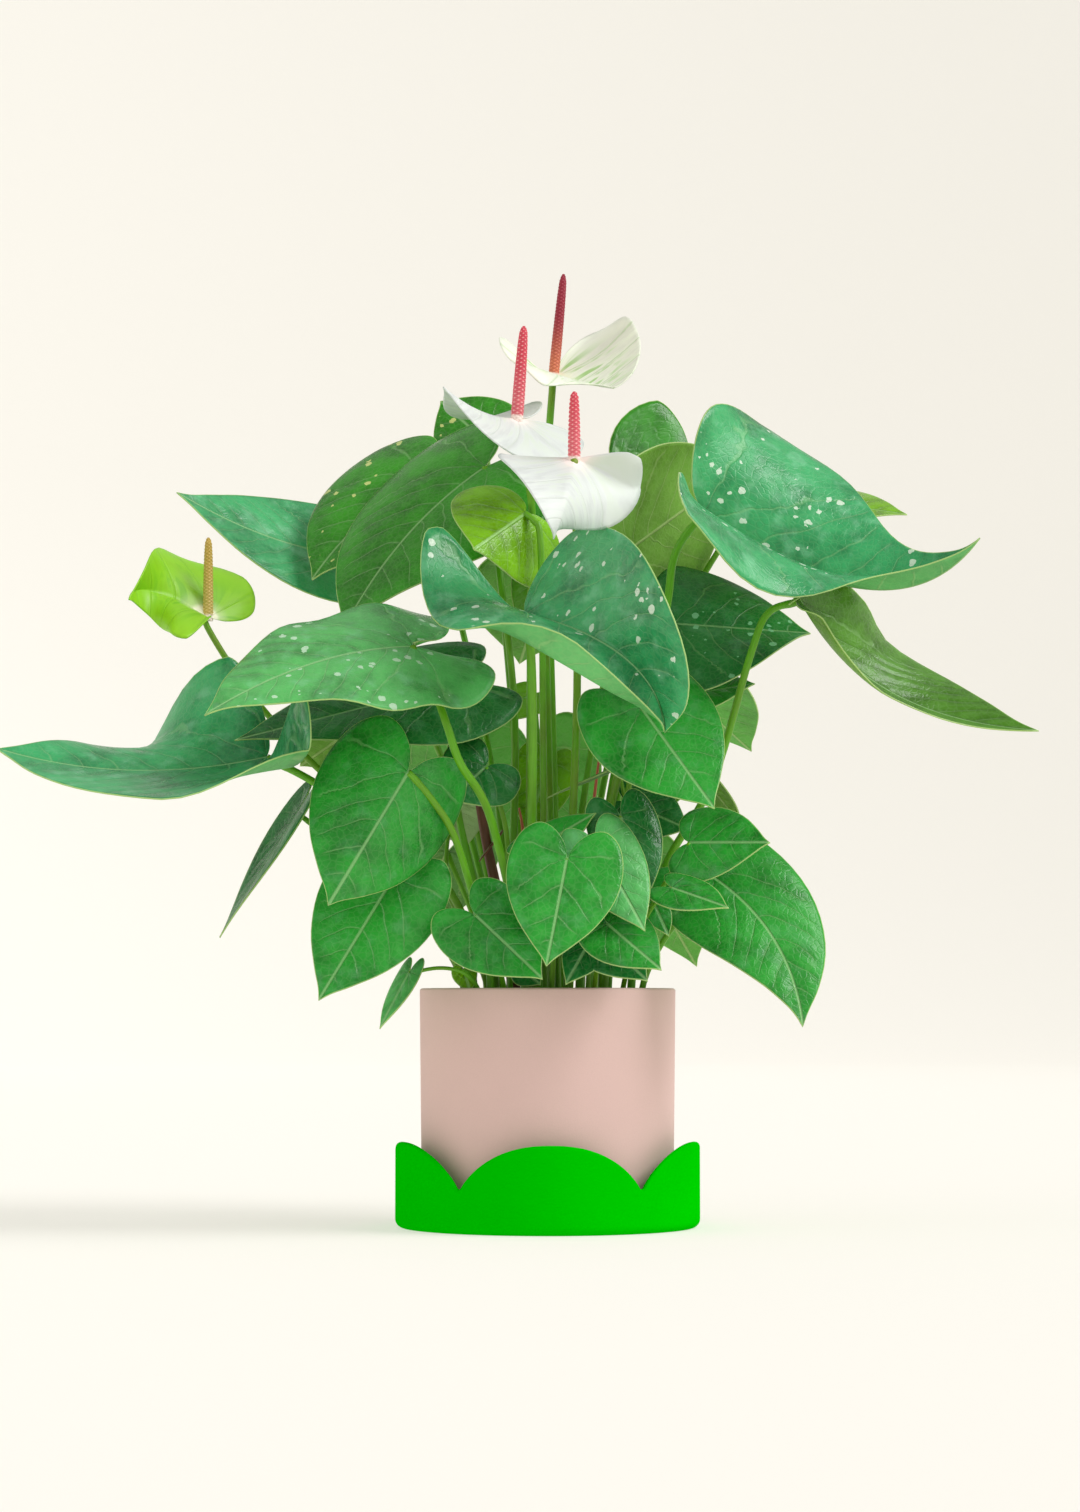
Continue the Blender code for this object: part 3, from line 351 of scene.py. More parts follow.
def spline(points, places):
    """A Catmull-Rom curve through the points, read at places from 0 to 1."""
    points = np.asarray(points, float)
    ends = np.vstack([2 * points[0] - points[1], points, 2 * points[-1] - points[-2]])
    last = len(points) - 1
    x = np.clip(np.asarray(places, float) * last, 0, last - 1e-9)
    i = x.astype(int)
    t = (x - i)[:, None]
    a, b, c, d = ends[i], ends[i + 1], ends[i + 2], ends[i + 3]
    cubic = -a + 3 * b - 3 * c + d
    return 0.5 * (2 * b + (c - a) * t + (2 * a - 5 * b + 4 * c - d) * t**2 + cubic * t**3)


def flat_blade(leaf, rows, columns):
    """Leaf coordinates of a grid on the flat blade: share of the length, share of the half width,
    and place across from -1 at the right margin to 1 at the left one."""
    place = np.linspace(0, 1, rows + 1)
    margin = spline(HALF_OUTLINE, place)
    across = np.linspace(-1, 1, columns + 1)
    reach = np.where(across > 0, leaf.lobe[0], leaf.lobe[1])[None, :]
    edge_along = margin[:, 0, None]
    edge_along = np.where(edge_along < 0, edge_along * reach, edge_along)
    edge_out = margin[:, 1] * (1 - leaf.taper * smooth(margin[:, 0] * 1.4))
    midrib = (place**1.7)[:, None]
    along = midrib + (edge_along - midrib) * np.abs(across)[None, :] ** 1.15
    out = edge_out[:, None] * across[None, :]
    return along, out, np.broadcast_to(across, along.shape)


def blade_points(leaf, rows, columns):
    """The blade's middle surface. The midrib is a quadratic Bezier curve, and each half leaves it
    at the fold angle and turns by the curl, roll and hem angles on the way to the margin."""
    joint = np.array(leaf.joint, float)
    tip = np.array(leaf.tip, float)
    knee = (joint + tip) / 2 + 2 * np.array(leaf.bend, float)
    along, out, across = flat_blade(leaf, rows, columns)
    left = out > 0

    def side(pair):
        return np.where(left, pair[0], pair[1])

    s = along[..., None]
    t = np.clip(s, 0, 1)
    midrib = (1 - t) ** 2 * joint + 2 * t * (1 - t) * knee + t**2 * tip
    midrib = midrib + np.minimum(s, 0) * np.linalg.norm(tip - joint) * unit(knee - joint)
    tangent = unit((1 - t) * (knee - joint) + t * (tip - knee))
    face = unit(leaf.face)
    up = unit(face - np.sum(face * tangent, -1, keepdims=True) * tangent)
    leftward = np.cross(up, tangent)
    turn = np.radians(leaf.twist) * t
    up, leftward = (up * np.cos(turn) + leftward * np.sin(turn),
                    leftward * np.cos(turn) - up * np.sin(turn))

    grown = smooth((along + 0.05) / 0.5)
    bending = np.radians(side(leaf.curl) + side(leaf.roll) * grown)[..., None]
    hem = np.radians(side(leaf.hem) * grown)[..., None]
    part = (np.arange(10) + 0.5) / 10
    slope = np.radians(side(leaf.fold))[..., None] + bending * np.abs(out)[..., None] * part
    slope = slope + hem * smooth((np.abs(across)[..., None] * part - 0.5) / 0.3)
    sideways = np.mean(np.cos(slope), -1) * out * leaf.width / 2
    height = np.mean(np.sin(slope), -1) * np.abs(out) * leaf.width / 2

    back = np.clip(-along / (LOBE_REACH * side(leaf.lobe)), 0, 1)
    height = height + side(leaf.lift) * np.abs(across) * back**2
    ripple = np.sin(2 * np.pi * 2.2 * np.clip(along, -0.3, 1) + np.where(left, 0, 1.7))
    height = height + leaf.wave * np.abs(across) ** 3 * ripple * np.sqrt(np.clip(1 - along, 0, 1))
    return midrib + leftward * sideways[..., None] + up * height[..., None]


def bezier(start, first, second, end, count):
    """Points along a cubic Bezier curve."""
    t = np.linspace(0, 1, count)[:, None]
    return ((1 - t) ** 3 * start + 3 * t * (1 - t) ** 2 * first + 3 * t**2 * (1 - t) * second
            + t**3 * end)


def stalk_path(root, end, via=(), count=7, arrival=None):
    """A stalk's middle line: straight up out of its hole, then a smooth curve to its end, through
    the via points or, with none, along one cubic Bezier curve. arrival is the way that this one
    points at its end."""
    foot = np.array([root[0], root[1], SOIL_TOP - ROOT_DEPTH])
    collar = np.array([root[0], root[1], SOIL_TOP + COLLAR])
    end = np.array(end, float)
    reach = end - collar
    rise = np.array([0, 0, 0.4 * reach[2]])
    if via:
        first = np.array(via[0], float)
        knee = collar + np.array([0, 0, 0.25 * (first[2] - collar[2])]) + 0.05 * (first - collar)
        knots = [collar, knee, *[np.array(point, float) for point in via], end]
        curve = spline(knots, np.linspace(0, 1, count))
    elif arrival is not None:
        last = end - np.array(arrival, float) * 0.3 * np.linalg.norm(reach)
        curve = bezier(collar, collar + rise, last, end, count)
    else:
        last = end - reach * np.array([0.35, 0.35, 0.25])
        curve = bezier(collar, collar + rise, last, end, count)
    return np.vstack([foot, curve])


def branch_path(leader, end, count=6):
    """A side stalk: it leaves the leader's middle line at just over half its own height."""
    end = np.array(end, float)
    height = SOIL_TOP + 0.55 * (end[2] - SOIL_TOP)
    start = np.argmin(np.abs(leader[1:-1, 2] - height)) + 1
    ahead = unit(leader[start + 1] - leader[start - 1])
    reach = end - leader[start]
    first = leader[start] + ahead * 0.4 * np.linalg.norm(reach)
    return bezier(leader[start], first, end - reach * np.array([0.4, 0.4, 0.1]), end, count)


def along_path(path, count):
    """The same curve read finely, as points and the place of each from 0 to 1."""
    place = np.linspace(0, 1, count)
    return spline(path, place), place


# Colours and settings
def linear(hex_colour):
    """An sRGB hex colour as linear red, green and blue."""
    channels = [int(hex_colour[i:i + 2], 16) / 255 for i in (1, 3, 5)]
    return [c / 12.92 if c <= 0.04045 else ((c + 0.055) / 1.055) ** 2.4 for c in channels]


def tint(name, description, hex_colour):
    """A colour that the user may change, with an sRGB hex value as its default."""
    return FloatVectorProperty(name=name, description=description, default=linear(hex_colour),
                               subtype="COLOR", size=3, min=0, max=1)


class FlowerLeaves(bpy.types.PropertyGroup):
    """Sizes and colours of the leaves and their stalks."""

    thickness: FloatProperty(name="Blade thickness", description="From upper side to underside",
                             default=0.0008, min=0.0004, max=0.0012, unit="LENGTH")
    relief: FloatProperty(name="Vein relief", description="How deep the veins lie in the blade",
                          default=0.0006, min=0, max=0.002, unit="LENGTH")
    leaf_green: tint("Mid green", "Upper side of the plain green leaves", "#269C2E")
    leaf_bluish: tint("Bluish green", "Upper side of the large waxy leaves", "#36A462")
    leaf_deep: tint("Deep green", "Upper side of the glossy leaves at the top", "#2F8E0C")
    leaf_dark: tint("Dark green", "Upper side of the shaded leaves", "#16762E")
    leaf_light: tint("Light green", "Upper side of the lighter leaves", "#58B860")
    leaf_lime: tint("Lime green", "Young leaves", "#7EBE00")
    leaf_olive: tint("Olive green", "Leaves that turn their underside", "#4F8A18")
    leaf_pale: tint("Pale green", "The palest back leaves", "#B9D3A4")
    margin: tint("Margin", "The thin line round each blade", "#B9D884")
    stalk_green: tint("Stalk", "Leaf and flower stalks", "#62AE08")


class FlowerBlooms(bpy.types.PropertyGroup):
    """Sizes and colours of the blooms and shoots."""

    bump: FloatProperty(name="Spadix bumps", description="Height of each small flower",
                        default=0.00035, min=0, max=0.001, unit="LENGTH")
    spathe_white: tint("White spathe", "Upper side of the white spathes", "#E4EAE8")
    spathe_green_white: tint("Greenish spathe", "Upper side of the greenish spathe", "#FAFFEE")
    spathe_lime: tint("Lime spathe", "Upper side of the lime spathe", "#94D420")
    spadix_red: tint("Red spadix", "Top of the red spadix", "#A01E38")
    spadix_pink: tint("Pink spadix", "Top of the pink spadices", "#E2485C")
    spadix_mustard: tint("Mustard spadix", "Top of the mustard spadix", "#C8A84A")
    stem_brown: tint("Brown stem", "The short old stem and its bract", "#7A4438")
    stem_coral: tint("Coral shoot", "The two young shoots", "#D8604C")


class FlowerPot(bpy.types.PropertyGroup):
    """Colours of the pot, the saucer and the soil."""

    pot_pink: tint("Pot", "Matt clay of the pot", "#E2C0BB")
    saucer_green: tint("Saucer", "Enamel of the saucer", "#00BE00")
    soil_dark: tint("Soil", "Damp potting soil", "#3A2A1E")
    grain: FloatProperty(name="Clay grain", description="Depth of the pot's fine grain",
                         default=0.00012, min=0, max=0.001, unit="LENGTH")


class FlowerStage(bpy.types.PropertyGroup):
    """The studio round the flower."""

    floor: tint("Floor", "Pale floor and backdrop", "#FCF9F1")
    key: FloatProperty(name="Key light", description="Strength of the wide light on the right",
                       default=2.15, min=0)
    fill: FloatProperty(name="Fill light", description="Power of the soft light on the left",
                        default=4, min=0, unit="POWER")
    distance: FloatProperty(name="Camera distance", description="From the camera to the pot",
                            default=LENS_DISTANCE, min=1, max=5, unit="LENGTH")


# Making the meshes
def put_object(name, mesh, node, slot, *materials):
    """An object at the origin that rides on the part and stands for this CAD node."""
    made = bpy.data.objects.new(name, mesh)
    for material in materials:
        mesh.materials.append(material)
    bpy.context.scene.collection.objects.link(made)
    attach(made, "root")
    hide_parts(node)
    return made


def surface(name, points, maps=None, wrap_rows=False, wrap_columns=False):
    """A mesh of quads over a grid of points in millimetres. The normal is the direction of the
    rows crossed with that of the columns. maps gives a UV pair for each grid corner. Points that
    meet, as at a pole or a seam, are merged."""
    rows, columns = points.shape[:2]
    number = np.arange(rows * columns).reshape(rows, columns)
    if wrap_rows:
        number = np.vstack([number, number[:1]])
    if wrap_columns:
        number = np.hstack([number, number[:, :1]])
    lattice = np.arange(number.size).reshape(number.shape)

    def quads(grid):
        return np.stack([grid[:-1, :-1], grid[1:, :-1], grid[1:, 1:], grid[:-1, 1:]],
                        -1).reshape(-1, 4)

    corners, spots = quads(number), quads(lattice)
    mesh = bpy.data.meshes.new(name)
    mesh.vertices.add(rows * columns)
    mesh.vertices.foreach_set("co", (points.reshape(-1, 3) * MM).ravel())
    mesh.loops.add(corners.size)
    mesh.loops.foreach_set("vertex_index", corners.ravel())
    mesh.polygons.add(len(corners))
    mesh.polygons.foreach_set("loop_start", np.arange(len(corners)) * 4)
    for key, pair in (maps or {}).items():
        layer = mesh.uv_layers.new(name=key)
        layer.data.foreach_set("uv", pair.reshape(-1, 2)[spots.ravel()].ravel())
    mesh.update(calc_edges=True)
    bm = bmesh.new()
    bm.from_mesh(mesh)
    bmesh.ops.remove_doubles(bm, verts=bm.verts, dist=MERGE)
    for face in bm.faces:
        face.smooth = True
    bm.to_mesh(mesh)
    bm.free()
    return mesh


def tube(name, path, radii, sides=16, maps=None):
    """A round bar: at each point of the path, a circle of its radius square to the path, and a
    closed pole at each end. The circle's first axis stays near the direction that the path turns
    about, so that the bar doesn't twist. Its UV map, skin, is millimetres round and along."""
    step = np.gradient(path, axis=0)
    tangent = unit(step)
    aside = np.linalg.svd(tangent, full_matrices=True)[2][-1]
    first = unit(aside - np.sum(aside * tangent, -1, keepdims=True) * tangent)
    second = np.cross(first, tangent)
    angle = np.linspace(0, 2 * np.pi, sides, endpoint=False)
    ring = (first[:, None] * np.cos(angle)[None, :, None]
            + second[:, None] * np.sin(angle)[None, :, None])
    if np.ndim(radii) == 1:
        radii = radii[:, None]
    points = path[:, None] + ring * (radii * np.ones((1, sides)))[..., None]
    points = np.concatenate([np.repeat(path[:1, None], sides, 1), points,
                             np.repeat(path[-1:, None], sides, 1)])
    length = np.concatenate([[0], np.cumsum(np.linalg.norm(np.diff(path, axis=0), axis=1))])
    length = np.concatenate([[0], length, length[-1:]])
    round_it = np.linspace(0, 2 * np.pi, sides + 1) * float(np.mean(radii))
    skin = np.stack(np.broadcast_arrays(round_it[None, :], length[:, None]), -1)
    return surface(name, points, {"skin": skin, **(maps or {})}, wrap_columns=True)


def blade_mesh(leaf, rows, columns):
    """A blade's middle surface on a fine grid, with two UV maps. Map blade is millimetres across
    and along. Map veins is a number that is whole on each side vein, and millimetres from the
    margin. Ahead of the joint the number grows along the midrib less a slant outwards, and behind
    it the number falls with the angle round the joint."""
    along, out, across = flat_blade(leaf, rows, columns)
    points = blade_points(leaf, rows, columns)
    length = np.linalg.norm(np.subtract(leaf.tip, leaf.joint))
    half = leaf.width / 2
    reach = np.abs(out)
    slant = VEIN_SLANT * reach**1.3
    ahead = along - slant
    angle = np.arctan2(reach * half, along * length)
    border = np.arctan2(reach * half, slant * length)
    behind = (angle - border) / (np.pi - border)
    count = np.clip(length / VEIN_GAP, *VEINS_AHEAD)
    number = np.where(ahead > 0, count * ahead, -VEINS_BEHIND * behind)
    step = np.linalg.norm(np.diff(points, axis=1), axis=2)
    from_right = np.concatenate([np.zeros((rows + 1, 1)), np.cumsum(step, axis=1)], 1)
    margin = np.minimum(from_right, from_right[:, -1:] - from_right)
    maps = {"blade": np.stack([out * half, along * length], -1),
            "veins": np.stack([number, margin], -1)}
    return surface(leaf.name, points, maps)


def put_blade(leaf, name, node, slot, settings, upper, under, rows=None):
    """A blade with its wall. Its upper side and rim take the first material, its underside the
    second."""
    plain_rows, columns = next(grid for least, *grid in GRIDS if leaf.width >= least)
    mesh = blade_mesh(leaf, rows or plain_rows, columns)
    made = put_object(name, mesh, node, slot, upper, under)
    wall = made.modifiers.new("wall", "SOLIDIFY")
    wall.thickness = settings.thickness
    wall.offset = 0
    wall.material_offset = 1
    wall.material_offset_rim = 0


def put_stalk(name, path, stem, material, node, slot):
    """A stalk on the smooth curve through the path. It narrows upwards, and swells a little just
    under the blade."""
    line, place = along_path(path, 60)
    radii = stem * (STALK_FOOT + (STALK_TOP - STALK_FOOT) * place)
    radii = radii * (1 + SWELL * np.exp(-((place - SWELL_PLACE) / SWELL_LENGTH) ** 2))
    put_object(name, tube(name, line, radii), node, slot, material)


# Materials
SOFT = {"interpolation_type": "SMOOTHSTEP"}
TIMES = {"operation": "MULTIPLY"}
TIMES_PLUS = {"operation": "MULTIPLY_ADD"}
TO_AND_FRO = {"operation": "PINGPONG"}


def add_node(tree, kind, inputs=(), out=0, **settings):
    """Adds a node with its settings, links or sets its inputs, which are given by name or in
    order, and gives one of its outputs."""
    node = tree.nodes.new("ShaderNode" + kind)
    for key, value in settings.items():
        setattr(node, key, value)
    for key, value in inputs.items() if isinstance(inputs, dict) else enumerate(inputs):
        if isinstance(value, bpy.types.NodeSocket):
            tree.links.new(value, node.inputs[key])
        else:
            node.inputs[key].default_value = value
    return node.outputs[out] if node.outputs else None


def new_material(name):
    """A material, what adds a node to its empty tree, and the place in the object in metres."""
    material = bpy.data.materials.new(name)
    material.use_nodes = True
    material.node_tree.nodes.clear()
    add = partial(add_node, material.node_tree)
    return material, add, add("TexCoord", out="Object")


def finish(material, add, inputs, bump=()):
    """The material with its surface. bump is the height, its depth in metres and its strength."""
    if bump:
        inputs["Normal"] = add("Bump", dict(zip(("Height", "Distance", "Strength"), bump)))
    add("OutputMaterial", (add("BsdfPrincipled", inputs),))
    return material


def sized(place, size, **more):
    """Inputs of a pattern that is about size millimetres across, on coordinates in metres."""
    return {"Vector": place, "Scale": 1000 / size, **more}


def shaded(colour, factor=1.0, lift=0.0):
    """A linear colour made darker or lighter, with alpha."""
    return (*[min(1, c * factor + lift) for c in colour], 1)


def blended(colour, hex_colour, share):
    """A linear colour with a share of another one, given in sRGB hex."""
    return tuple((1 - share) * c + share * d for c, d in zip(colour, linear(hex_colour)))


def paint(add, skin, *coats):
    """The skin under coats of colour. Each coat lies where its factor is, up to its share."""
    for factor, colour, share in coats:
        cover = add("Math", (factor, share), use_clamp=True, **TIMES)
        skin = add("Mix", {0: cover, 6: skin, 7: colour}, 2, data_type="RGBA")
    return skin


def leaf_skin(name, colour, margin, relief, upper=True, waxy=0.0, flecks=None):
    """Living leaf: a smooth waxy cuticle over green tissue. The upper side has sunken side veins
    with the blade quilted between them, a pale midrib and margin, and for waxy leaves patches of
    painted bluish sheen. On both sides the ground is painted lighter where it is quilted and
    darker along the side veins, as painted light and shade. Flecks are dried drops of the given
    colour, in groups. The underside is lighter and duller, and its veins stand proud."""
    material, add, place = new_material(name)
    blade, veins = (add("UVMap", uv_map=key) for key in ("blade", "veins"))
    number, inside = (add("SeparateXYZ", (veins,), axis) for axis in "XY")
    # Side veins 17 mm apart, which wander over about 25 mm, a midrib, and a net of small veins
    # 3.5 mm apart. Clouds of light and dark tissue are 34 mm, 9 mm and 3 mm across
    shift = add("Math", (add("TexNoise", sized(place, 25)), 0.7, -0.35), **TIMES_PLUS)
    gap = add("Math", (add("Math", (number, shift)), 0.5), **TO_AND_FRO)
    off = add("Math", (add("SeparateXYZ", (blade,)),), operation="ABSOLUTE")
    cells = add("TexVoronoi", {"Vector": blade, "Scale": 1 / 3.5}, feature="DISTANCE_TO_EDGE")
    wide, small = (add("TexNoise", sized(place, size, Detail=3.0)) for size in (34, 9))
    # The margin is pale for 0.5 mm, and the side veins begin 2 to 9 mm inside it. The midrib is
    # 2 mm wide. The ground is painted darker along the side veins and lighter where it is quilted,
    # as painted shade and light that follow the relief
    edge, inner, midrib, line, quilt_light_and_shade, net, cloud, patch = (
        add("MapRange", ramp, **SOFT) for ramp in (
            (inside, 0.6, 0.2), (inside, 2.0, 9.0), (off, 1.3, 0.4), (gap, 0.05, 0.012),
            (gap, 0.02, 0.34), (cells, 0.16, 0.0), (wide, 0.36, 0.64), (small, 0.4, 0.66)))
    side = add("Math", (add("Math", (line, inner), **TIMES), 0.42), **TIMES)
    rib = add("Math", (side, midrib), operation="MAXIMUM")

    if upper:
        dark, light = shaded(colour, 0.5), shaded(colour, 1.05)
        pale, rough, gloss, sign = blended(colour, "#B4E0A0", 0.55), (0.26, 0.38), 0.38, -1
    else:
        dark, light = shaded(colour, 0.8), shaded(colour, 1.25, 0.03)
        pale, rough, gloss, sign = blended(colour, "#D2E4A0", 0.5), (0.55, 0.65), 0.2, 1
    pale = shaded(pale)
    # Painted light and shade: the quilt mask lightens the domes between the side veins and leaves
    # the bands along them dark
    skin = paint(add, dark, (cloud, light, 1), (quilt_light_and_shade, shaded(colour, 1.35, 0.005), 0.25),
                 (patch, shaded(colour, 1.45, 0.01), 0.3),
                 (add("TexNoise", sized(place, 3)), shaded(colour, 0.7), 0.3), (net, pale, 0.1))
    # The bloom mask is painted sheen: mint patches on the upper side that stand for gloss
    # reflecting the soft light, stronger on waxier finishes
    if waxy:
        bloom = add("MapRange", (add("TexNoise", sized(place, 11, Detail=5.0)), 0.5, 0.72), **SOFT)
        skin = paint(add, skin, (bloom, shaded(linear("#9EDDB8")), 0.26 * waxy))
    skin = paint(add, skin, (rib, pale, 0.75))
    if flecks:
        # Drops up to 4 mm across on cells of 6.5 mm, pulled out of round, in groups 40 mm apart
        pull = add("TexNoise", sized(place, 3.5), "Color")
        pull = add("VectorMath", (pull, (0.0028, 0.0028, 0.0045), place), **TIMES_PLUS)
        cells = add("TexVoronoi", sized(pull, 6.5), "Color")
        group = add("MapRange", (add("TexNoise", sized(place, 40)), 0.34, 0.56), **SOFT)
        some = add("Math", (add("SeparateXYZ", (cells,)), group), **TIMES)
        size = add("MapRange", (some, 0.38, 1.0, 0.0, 0.38), **SOFT)
        spot = add("Math", (cells.node.outputs["Distance"], size), operation="LESS_THAN")
        skin = paint(add, skin, (spot, shaded(flecks), 0.8))
    skin = paint(add, skin, (edge, shaded(margin), 0.8))

    height = add("Math", (gap, inner), **TIMES)
    for form, rise in ((rib, 0.8 * sign), (net, 0.1 * sign), (patch, 0.07)):
        height = add("Math", (form, rise, height), **TIMES_PLUS)
    return finish(material, add, {
        "Base Color": skin, "Roughness": add("MapRange", (cloud, 0, 1, *rough), **SOFT),
        "Specular IOR Level": gloss}, (height, relief * 1.6, 0.8))


def spathe_skin(name, colour, streaks, heart, relief):
    """Spathe: a thick waxy leaf that carries the spike, smooth and satin. Faint veins run in arcs
    from the seat to the margin, streaks of a second colour follow them, and the ground round the
    seat is of a third colour."""
    material, add, place = new_material(name)
    blade, veins = (add("UVMap", uv_map=key) for key in ("blade", "veins"))
    # Fibres a third of a vein wide, and three times as long as the blade is deep
    run = add("Mapping", {"Vector": veins, "Scale": (3.0, 0.03, 1)})
    fibre = add("TexNoise", {"Vector": run, "Scale": 1.0, "Detail": 3.0})
    vein = add("Math", (add("SeparateXYZ", (veins,)), 0.5), **TO_AND_FRO)
    vein = add("MapRange", (vein, 0.06, 0.0), **SOFT)
    # The streaks fade from 12 to 52 mm from the seat, and its ground ends within 15 mm
    reach = add("VectorMath", (blade,), "Value", operation="LENGTH")
    near, round_it, seat = (add("MapRange", (reach, *ends), **SOFT)
                            for ends in ((52, 12), (15, 5), (8, 4)))
    streak = add("Math", (add("MapRange", (fibre, 0.48, 0.62), **SOFT), near), **TIMES)
    ground = add("Math", (round_it, fibre, seat), **TIMES_PLUS)
    skin = paint(add, shaded(colour, 0.86),
                 (add("MapRange", (fibre, 0.35, 0.65), **SOFT), shaded(colour), 1),
                 (streak, shaded(streaks), 0.75), (vein, shaded(streaks), 0.3),
                 (ground, shaded(heart), 0.85))
    height = add("Math", (vein, -0.5, add("TexNoise", sized(place, 20))), **TIMES_PLUS)
    return finish(material, add, {
        "Base Color": skin, "Specular IOR Level": 0.35,
        "Roughness": add("MapRange", (fibre, 0.3, 0.7, 0.36, 0.48), **SOFT)},
        (height, relief * 1.5, 0.5))


def stalk_skin(name, colour, blush="#6E7A22"):
    """Stalk: green skin with fine lengthways streaks 0.8 mm wide and 12 mm long, and a little
    gloss. A blush lies in long patches about 45 mm across."""
    material, add, place = new_material(name)
    run = add("Mapping", {"Vector": add("UVMap", uv_map="skin"), "Scale": (1 / 0.8, 1 / 12, 1)})
    streak = add("TexNoise", {"Vector": run, "Scale": 1.0})
    patch = add("MapRange", (add("TexNoise", sized(place, 45)), 0.4, 0.7))
    skin = paint(add, shaded(colour, 0.6), (streak, shaded(colour, 1.3), 1),
                 (patch, shaded(linear(blush)), 0.5))
    return finish(material, add, {
        "Base Color": skin, "Roughness": add("MapRange", (streak, 0, 1, 0.38, 0.55))},
        (streak, 0.0002, 0.5))


def spadix_skin(name, top, base, white):
    """Spadix: a fleshy spike covered with tiny flowers in a diamond lattice. Each one is a raised
    point, paler at its tip, and the spike runs from the ripe colour at the top to that of its
    base over its length, with a pale foot."""
    material, add, place = new_material(name)
    lattice = add("UVMap", uv_map="lattice")
    one, two = (add("Math", (add("SeparateXYZ", (lattice,), axis), 0.5), **TO_AND_FRO)
                for axis in "XY")
    both = add("Math", (one, two), operation="MINIMUM")
    # Painted shade: the grooves between the raised points are darkened
    groove_shade = add("MapRange", (both, 0.03, 0.14, 1, 0))
    tip = add("MapRange", (both, 0.3, 0.46))
    height = add("SeparateXYZ", (add("UVMap", uv_map="skin"),), "Y")
    up = add("MapRange", (height, 0.05 * SPIKE_LENGTH, 0.75 * SPIKE_LENGTH), **SOFT)
    foot = add("MapRange", (height, 4.6, 2.8), **SOFT)
    skin = paint(add, shaded(linear(base)), (up, shaded(top), 1),
                 (add("TexNoise", sized(place, 6)), shaded(top, 0.8), 0.4),
                 (groove_shade, shaded(top, 0.55), 0.45), (tip, shaded(linear("#FBE6DC")), white),
                 (foot, shaded(linear("#FFF0E8")), 0.9))
    return finish(material, add, {"Base Color": skin, "Roughness": 0.5, "IOR": 1.45},
                  (both, 0.0006, 0.7))


def clay(name, colour, depth):
    """Matt coloured clay: cast, sanded and left without glaze. It has no gloss, a fine even grain
    and faint clouds. The real grain is about 0.15 mm, and is drawn at 0.8 mm so that it shows."""
    material, add, place = new_material(name)
    grain = add("TexNoise", sized(place, 0.8))
    cloud = add("TexNoise", sized(place, 40, Detail=3.0))
    skin = paint(add, shaded(colour, 0.95), (cloud, shaded(colour, 1.04), 1),
                 (grain, shaded(colour, 0.86), 0.5))
    return finish(material, add, {
        "Base Color": skin, "Roughness": add("MapRange", (grain, 0, 1, 0.78, 0.92))},
        (grain, depth, 0.6))


def enamel(name, colour):
    """Coloured enamel: sprayed, cured and rubbed matt, so that it mirrors nothing. A very low
    orange peel 4 mm across is left in it."""
    material, add, place = new_material(name)
    cloud = add("TexNoise", sized(place, 35))
    skin = paint(add, shaded(colour, 0.95), (cloud, shaded(colour, 1.04), 1))
    return finish(material, add, {
        "Base Color": skin, "Roughness": add("MapRange", (cloud, 0, 1, 0.42, 0.5)),
        "Specular IOR Level": 0.0}, (add("TexNoise", sized(place, 4)), 0.0001, 0.3))


def crumbs(name, colour, size):
    """Damp potting soil, bark or perlite: broken grains of the given size in millimetres, with
    painted shade in the pores between them, and no gloss."""
    material, add, place = new_material(name)
    # Painted shade: each grain darkens out towards the pores between the grains
    pore_shade = add("TexVoronoi", sized(place, size))
    dust = add("TexNoise", sized(place, size / 2, Detail=4.0))
    skin = paint(add, shaded(colour, 0.45), (dust, shaded(colour, 1.5), 1),
                 (pore_shade, shaded(colour, 0.35), 0.8))
    return finish(material, add, {"Base Color": skin, "Roughness": 0.92}, (dust, 0.0008, 0.8))


def paper(name, colour):
    """Studio backdrop: a matt diffusing sheet lit evenly from behind too, so that it stays pale
    and its shadows are faint. Its tooth of 3 mm is so low that it hardly shows."""
    material, add, place = new_material(name)
    tooth = add("TexNoise", sized(place, 3))
    skin = paint(add, shaded(colour, 0.445), (tooth, shaded(colour, 0.45), 1))
    return finish(material, add, {
        "Base Color": skin, "Roughness": 0.95,
        "Emission Color": shaded(colour), "Emission Strength": SHEET_LIGHT})


# The pieces
def lathe(profile, sides):
    """A profile of radius and height turned round the Z axis."""
    angle = np.linspace(0, 2 * np.pi, sides, endpoint=False)
    radius, height = np.asarray(profile, float).T
    return np.stack([radius[:, None] * np.cos(angle), radius[:, None] * np.sin(angle),
                     height[:, None] * np.ones(sides)], -1)


def arc(centre, radius, start, end, count):
    """Points on part of a circle, from one angle in degrees to another."""
    turn = np.radians(np.linspace(start, end, count))
    return np.stack([centre[0] + radius * np.cos(turn), centre[1] + radius * np.sin(turn)], -1)


